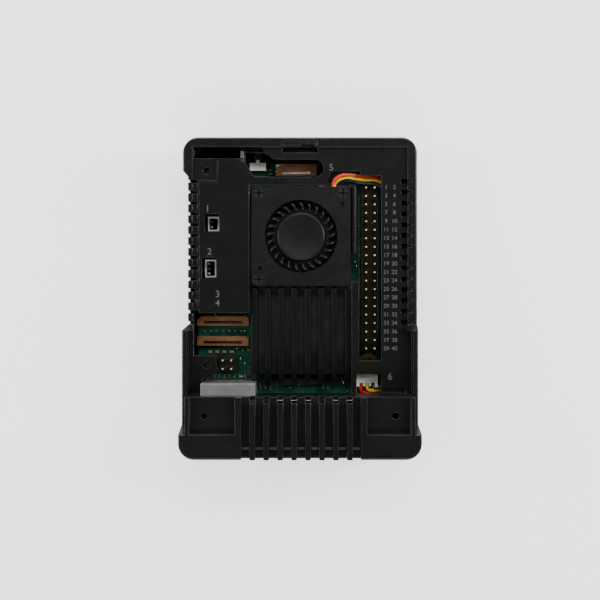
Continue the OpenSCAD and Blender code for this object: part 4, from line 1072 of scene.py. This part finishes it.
class MakeImpeller(Maker):
    """The impeller: a hub cup with a rounded rim, a back disc and a ring of bent blades"""

    bl_idname = "computer.make_impeller"
    bl_label = "Impeller"

    def make(self, scene):
        looks = scene.cooler_looks
        box_low, box_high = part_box("fan_impeller")
        centre = Vector(((box_low.x + box_high.x) / 2, (box_low.y + box_high.y) / 2, box_low.z))
        outer = (box_high.x - box_low.x) / 2
        hub, top, disc = 7.3 * MM, box_high.z - box_low.z, 0.4 * MM
        inside, ceiling, dish = hub - 0.6 * MM, top - 0.9 * MM, top - 0.06 * MM
        foot, bevel, rounding = 0.3 * MM, 0.1 * MM, looks.rim_round
        profile = [(0, dish), (hub * 0.86, dish), (hub * 0.885, top)]
        profile += arc((hub - rounding, top - rounding), rounding, 90, 0, 6)
        profile += [(hub, disc + foot), (hub + foot, disc), (outer - bevel, disc)]
        profile += [(outer, disc - bevel), (outer, 0), (inside, 0), (inside, ceiling), (0, ceiling)]
        bm = bmesh.new()
        turned(bm, profile, centre, 128)
        weld(bm)
        made = placed(mesh_from("impeller_hub", bm), "impeller_hub", ["fan_plastic"])
        smooth(made.data)
        shown(made, "fan_rotor", "fan_plastic", "fan_impeller")
        # The blades' lighter finish is a painted highlight on their tops.
        blades = grown("impeller_blades", "blades", "blade_plastic", blades=looks.blades,
                       inner_radius=hub + 0.9 * MM, outer_radius=outer - 0.15 * MM,
                       height=2.4 * MM, thickness=looks.blade_t, sweep=looks.blade_sweep,
                       root_height=looks.blade_root, centre=centre + Vector((0, 0, 0.1 * MM)))
        shown(blades, "fan_rotor", "fan_plastic", "fan_impeller")


# The wires' routes repeat those of the CAD model, in mm: out of the blower's corner, beside the
# board's edge by the pin header, and back to the plug along the wall of the jack cover.
WIRES = {
    "red": ([(9.5, 0, 3.2), (9.5, 1, 3.2), (10, 2.2, 3.4), (11.1, 3.1, 3.6), (12.6, 3.7, 3.7),
             (14.5, 3.8, 3.5), (16.3, 3.7, 3)],
            [(-4.9, 36.2, 5), (-3.1, 36.2, 4.1), (-1.4, 36, 3.3), (0.2, 35.5, 2.7),
             (1.2, 34.3, 2.3), (1.4, 33, 2.2)],
            [(1.4, 5, 1.9), (1.4, 2.2, 1.9), (0.8, 0.3, 1.9), (-0.6, -0.4, 1.9), (-3, -0.4, 1.9),
             (-5.2, -0.3, 2), (-5.8, 0.2, 2.5), (-5.95, 1.1, 3.2)]),
    "yellow": ([(10.1, 0, 2), (10.1, 0.9, 2), (10.7, 1.8, 2.2), (11.7, 2.5, 2.4), (13, 3, 2.5),
                (14.7, 3.1, 2.4), (16.4, 2.8, 1.9)],
               [(-5, 35.2, 4.5), (-3, 35.2, 3.8), (-1.2, 35, 3.5), (0.1, 34.4, 3.3),
                (0.8, 33.4, 3.3), (1, 32, 3.2)],
               [(1, 5, 3), (1, 2.6, 3), (0.5, 0.9, 2.9), (-0.8, 0.3, 2.9), (-2.6, 0.3, 2.9),
                (-3.7, 0.6, 3.1), (-4.15, 1.3, 3.4)]),
    "black": ([(10.7, 0, 0.8), (10.7, 0.8, 0.8), (11.3, 1.4, 1), (12.2, 1.9, 1.2),
               (13.6, 2.2, 1.3), (15.1, 2.2, 1.1), (16.6, 1.9, 0.9)],
              [(-5, 34.3, 4.1), (-2.8, 34.2, 4.2), (-1.2, 33.9, 4.2), (0, 33.2, 4.2),
               (0.5, 32.2, 4.2), (0.6, 31, 4.2)],
              [(0.6, 5, 4.1), (0.6, 3.4, 4), (0.2, 1.9, 3.9), (-0.8, 1.1, 3.9), (-1.8, 1.1, 3.8),
               (-2.3, 1.7, 3.6)]),
}


class MakeWires(Maker):
    """The blower's three wires, from its corner round the header to the plug"""

    bl_idname = "computer.make_wires"
    bl_label = "Blower wires"

    def make(self, scene):
        blower, plug, board = middle("fan_housing"), middle("fan_plug"), high("circuit_board")
        corner = Vector((blower.x, high("fan_housing").y, low("fan_housing").z))
        lane = Vector((board.x, 0, board.z))
        cover = Vector((board.x, plug.y - 3.35 * MM, board.z))
        pitch, back, up, straight = 1.8 * MM, 0.65 * MM, 2.4 * MM, 0.8 * MM
        for number, (colour, parts) in enumerate(WIRES.items()):
            route = [origin + Vector(p) * MM for origin, points in zip((corner, lane, cover), parts)
                     for p in points]
            entry = Vector((plug.x + (number - 1) * pitch, plug.y - back,
                            low("fan_plug").z + up))
            route += [entry - Vector((0, straight, 0)), entry]
            host = bpy.data.meshes.new("route")
            host.from_pydata(route, [(i, i + 1) for i in range(len(route) - 1)], [])
            name = "wire_" + colour
            made = grown("blower_" + name, "tube", name, host, sides=16, spacing=0.8 * MM,
                         step=0.25 * MM, radius=scene.cooler_looks.wire_d / 2)
            shown(made, UNIT, name, "fan_" + name)


class MakePlug(Maker):
    """The blower's plug and the board socket below it"""

    bl_idname = "computer.make_plug"
    bl_label = "Blower plug"

    def make(self, scene):
        softened("fan_plug", "blower_plug", UNIT, "white_plastic", 0.12)
        softened("fan_socket", "blower_socket", UNIT, "white_plastic", 0.1)


def header_body(node, rows, pitch, material):
    """A header's base: one notched strip for two rows of pins."""
    a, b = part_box(node)
    notch = 0.3 * MM
    right, left = [], []
    for i in range(rows):
        y0, y1 = a.y + i * pitch, a.y + (i + 1) * pitch
        right += [(b.x - notch, y0), (b.x, y0 + notch), (b.x, y1 - notch), (b.x - notch, y1)]
        left += [(a.x + notch, y0), (a.x, y0 + notch), (a.x, y1 - notch), (a.x + notch, y1)]
    outline = []
    for point in right + left[::-1]:
        if not outline or (Vector(point) - Vector(outline[-1])).length > 0.01 * MM:
            outline.append(point)
    bm = bmesh.new()
    slab(bm, outline, a.z, b.z)
    modelled(node + "_base", bm, material, "connector_black", node, width=0.06)


def header_pin(name, size, tip):
    """A square pin that stands on z 0, with a tapered tip."""
    bm = bmesh.new()
    width, height = size
    half, half_top = width / 2, width * 0.28
    levels = [(half, 0), (half, height - tip), (half_top, height)]
    rings = [[bm.verts.new((r * x, r * y, z)) for x, y in ((-1, -1), (1, -1), (1, 1), (-1, 1))]
             for r, z in levels]
    bm.faces.new(rings[0][::-1])
    bm.faces.new(rings[-1])
    for a, b in zip(rings, rings[1:]):
        for i in range(4):
            k = (i + 1) % 4
            bm.faces.new((a[i], a[k], b[k], b[i]))
    bmesh.ops.bevel(bm, geom=bm.edges[:], offset=0.03 * MM, segments=1, affect="EDGES")
    return mesh_from(name, bm)


class MakeHeaders(Maker):
    """The long pin header and the power pin header"""

    bl_idname = "computer.make_headers"
    bl_label = "Pin headers"

    def make(self, scene):
        for header, pins, rows in (("gpio_header", "gpio_pins", 20), ("poe_header", "poe_pins", 2)):
            box_low, box_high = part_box(header)
            pitch = (box_high.y - box_low.y) / rows
            header_body(header, rows, pitch, "header_plastic")
            base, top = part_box(pins)
            width = top.x - base.x - pitch
            pin = header_pin("pin", (width, top.z - base.z), 0.5 * MM)
            centre = middle(header)
            made = copies(pins + "_gilt", "grid", "pin_gilt", pin, width=pitch,
                          length=(rows - 1) * pitch, columns=2, rows=rows,
                          centre=(centre.x, centre.y, base.z))
            shown(made, UNIT, "gold_pins", pins)


class MakeJacks(Maker):
    """Power inlet, display ports, network jack, data jacks and the memory card socket"""

    bl_idname = "computer.make_jacks"
    bl_label = "Jacks and ports"

    def make(self, scene):
        for node in ("usb_c_shell", "hdmi_shells", "ethernet_shell", "usb3_shell", "usb2_shell",
                     "card_socket"):
            softened(node, node + "_metal", UNIT, "plated_metal", 0.1)
        for node in ("usb_c_tongue", "hdmi_tongues", "ethernet_insert", "usb2_insert"):
            softened(node, node + "_body", UNIT, "connector_black", 0.08)
        softened("usb3_insert", "usb3_insert_body", UNIT, "blue_plastic", 0.08)
        for node in ("ethernet_contacts", "usb_contacts"):
            softened(node, node + "_gilt", UNIT, "gold_pins", 0.04)
        self.make_lights()
        self.make_springs()

    def make_lights(self):
        """Two small lenses above the network port."""
        front, top = low("ethernet_insert").y, high("ethernet_insert").z
        out, half, near, far, below, above = (v * MM for v in (5.6, 1.4, 0.1, 0.45, 2.15, 0.65))
        for side, way, material in (("left", -1, "led_lens"), ("right", 1, "amber_lens")):
            bm = bmesh.new()
            x = middle("ethernet_insert").x + way * out
            slab(bm, box_outline(x - half, front + near, x + half, front + far),
                 top - below, top - above)
            modelled("network_light_" + side, bm, material, "led_lens", width=0.12)

    def make_springs(self):
        """Two stamped spring fingers on the top of each shell."""
        bm = bmesh.new()
        half, start, end, thick = 0.9 * MM, 4 * MM, 9 * MM, 0.12 * MM
        for node in ("usb3_shell", "usb2_shell", "ethernet_shell"):
            a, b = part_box(node)
            for third in (1, 2):
                x = a.x + (b.x - a.x) * third / 3
                slab(bm, box_outline(x - half, a.y + start, x + half, a.y + end), b.z, b.z + thick)
        modelled("shell_springs", bm, "plated_metal", "plated_metal", width=0.05)


class MakeSockets(Maker):
    """Ribbon sockets with their latches, and the small sockets with their pins"""

    bl_idname = "computer.make_sockets"
    bl_label = "Ribbon and small sockets"

    def make(self, scene):
        for node in ("pcie_socket", "rtc_socket", "uart_socket"):
            softened(node, node + "_body", UNIT, "white_plastic", 0.06)
        softened("camera_sockets", "camera_sockets_body", UNIT, "latch_brown", 0.06,
                 slot="white_plastic")
        for node, body in (("camera_latch_1", "camera_latch_a"),
                           ("camera_latch_0", "camera_latch_b"), ("pcie_latch", "expansion_latch")):
            softened(node, node + "_bar", body, "latch_brown", 0.12)
        softened("socket_pins", "small_socket_pins", UNIT, "bright_tin", 0.06, slot="gold_pins")
        self.make_floors()

    def make_floors(self):
        """Painted shade: dark floors inside the two small sockets."""
        bm = bmesh.new()
        wall, bottom, top = 0.5 * MM, 0.82 * MM, 1.2 * MM
        for node in ("rtc_socket", "uart_socket"):
            a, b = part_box(node)
            outline = box_outline(a.x + wall, a.y + wall, b.x - wall, b.y - wall)
            slab(bm, outline, a.z + bottom, a.z + top)
        modelled("socket_floors", bm, "slot_dark", "white_plastic", width=0.05)


class MakeSwitch(Maker):
    """The power switch on the board and its plunger"""

    bl_idname = "computer.make_switch"
    bl_label = "Power switch"

    def make(self, scene):
        softened("power_switch", "switch_body", UNIT, "white_plastic", 0.12, slot="plated_metal")
        softened("switch_plunger", "switch_stem", "plunger", "white_plastic", 0.1)


def number_mesh(text, size, thickness):
    """A number as a flat closed mesh about the origin."""
    curve = bpy.data.curves.new("number", "FONT")
    curve.body = text
    curve.size = size
    curve.align_x = "CENTER"
    curve.align_y = "CENTER"
    curve.extrude = thickness / 2
    curve.offset = 0.006 * size
    curve.resolution_u = 4
    holder = bpy.data.objects.new("number", curve)
    bpy.context.scene.collection.objects.link(holder)
    graph = bpy.context.evaluated_depsgraph_get()
    mesh = bpy.data.meshes.new_from_object(holder.evaluated_get(graph))
    bpy.data.objects.remove(holder)
    bpy.data.curves.remove(curve)
    return mesh


class MakeMarks(Maker):
    """Printed numbers: the pins' numbers beside the header, and one number for each socket"""

    bl_idname = "computer.make_marks"
    bl_label = "Deck numbers"

    def make(self, scene):
        looks = scene.case_looks
        deck, rows, columns = 16 * MM, 20, (2.16 * MM, 4.6 * MM)
        header_low, header_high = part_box("gpio_header")
        pitch = (header_high.y - header_low.y) / rows
        words = [(str(2 * i + 1 + side), header_high.x + dx, header_high.y - (i + 0.5) * pitch,
                  looks.digit_h) for i in range(rows) for side, dx in enumerate(columns)]
        labels = [("rtc_socket", -1.35, 4.15), ("uart_socket", 0.15, 4.8),
                  ("camera_latch_1", -1, 8.1), ("camera_latch_0", -1, 11.6),
                  ("pcie_latch", 10.4, -0.3), ("fan_plug", 6.5, 1.6)]
        for number, (node, dx, dy) in enumerate(labels, 1):
            spot = middle(node)
            words.append((str(number), spot.x + dx * MM, spot.y + dy * MM, looks.label_h))
        bm = bmesh.new()
        for text, x, y, size in words:
            mesh = number_mesh(text, size, looks.ink_t)
            mesh.transform(Matrix.Translation((x, y, deck + looks.ink_t / 2)))
            bm.from_mesh(mesh)
            bpy.data.meshes.remove(mesh)
        weld(bm, 0.0005)
        modelled("deck_numbers", bm, "deck_ink", None)


def soft_light(name, place, target, size, power):
    """A rectangular soft box that faces a point."""
    data = bpy.data.lights.new(name, "AREA")
    data.shape = "RECTANGLE"
    data.size, data.size_y = size
    data.energy = power
    made = bpy.data.objects.new(name, data)
    bpy.context.scene.collection.objects.link(made)
    made.location = place
    made.rotation_mode = "QUATERNION"
    made.rotation_quaternion = (Vector(target) - Vector(place)).to_track_quat("-Z", "Y")


class MakeStage(Maker):
    """Pale floor that curves up into a backdrop, soft lights, and the camera above the case"""

    bl_idname = "computer.make_stage"
    bl_label = "Stage"

    def make(self, scene):
        stage = scene.stage_looks
        bm = bmesh.new()
        flat, bend, rim = 2, 1, 1.4
        profile = [(0, 0), (flat, 0)] + arc((flat, bend), bend, -90, 0, 12)[1:]
        turned(bm, profile + [(flat + bend, rim)], Vector(), closed=False)
        weld(bm, 0.01)
        floor = placed(mesh_from("floor", bm), "floor", ["studio_floor"])
        smooth(floor.data)
        world = bpy.data.worlds.new("studio")
        world.use_nodes = True
        sky = world.node_tree.nodes["Background"]
        sky.inputs["Color"].default_value = (0.9, 0.95, 1, 1)
        sky.inputs["Strength"].default_value = 0.03
        scene.world = world
        target = (0, 0, 0.015)
        lights = (("key", (0.4, 0.14, 0.36), (0.12, 0.3), 3.4),
                  ("fill", (-0.4, 0.05, 0.3), (0.12, 0.4), 2.0),
                  ("front", (-0.02, -0.4, 0.45), (0.4, 0.12), 2.6),
                  ("back", (0.02, 0.36, 0.5), (0.4, 0.12), 3.2))
        for name, place, size, power in lights:
            soft_light(name, place, target, size, power * stage.light)
        camera = bpy.data.cameras.new("camera")
        camera.lens, camera.sensor_width = 50, 36  # mm
        camera.clip_start, camera.clip_end = 0.01, 10
        holder = bpy.data.objects.new("camera", camera)
        scene.collection.objects.link(holder)
        holder.location = (0, stage.camera_y, stage.camera_height)
        scene.camera = holder


# --------------------------------------------------------------------- panel

MAKERS = (MakeCase, MakeFeet, MakeBoard, MakeChips, MakeHeatSink, MakeBlower, MakeImpeller,
          MakeWires, MakePlug, MakeHeaders, MakeJacks, MakeSockets, MakeSwitch, MakeMarks,
          MakeStage)
SETTINGS = {"case_looks": CaseLooks, "cooler_looks": CoolerLooks, "board_looks": BoardLooks,
            "stage_looks": StageLooks}


class ComputerPanel(bpy.types.Panel):
    """Settings and makers of the computer's pieces"""

    bl_idname = "COMPUTER_PT_looks"
    bl_label = "Single Board Computer"
    bl_space_type = "VIEW_3D"
    bl_region_type = "UI"
    bl_category = "Computer"

    def draw(self, context):
        for key, group in SETTINGS.items():
            box = self.layout.box()
            box.label(text=group.__doc__)
            for setting in group.__annotations__:
                box.prop(getattr(context.scene, key), setting)
        for maker in MAKERS:
            self.layout.operator(maker.bl_idname)


def register():
    for group in SETTINGS.values():
        bpy.utils.register_class(group)
    for key, group in SETTINGS.items():
        setattr(bpy.types.Scene, key, PointerProperty(type=group))
    for shown_class in (*MAKERS, ComputerPanel):
        bpy.utils.register_class(shown_class)


def unregister():
    for shown_class in (ComputerPanel, *reversed(MAKERS)):
        bpy.utils.unregister_class(shown_class)
    for key, group in SETTINGS.items():
        delattr(bpy.types.Scene, key)
        bpy.utils.unregister_class(group)


def main():
    register()
    for maker in MAKERS:
        family, name = maker.bl_idname.split(".")
        getattr(getattr(bpy.ops, family), name)()


if __name__ == "__main__":
    main()
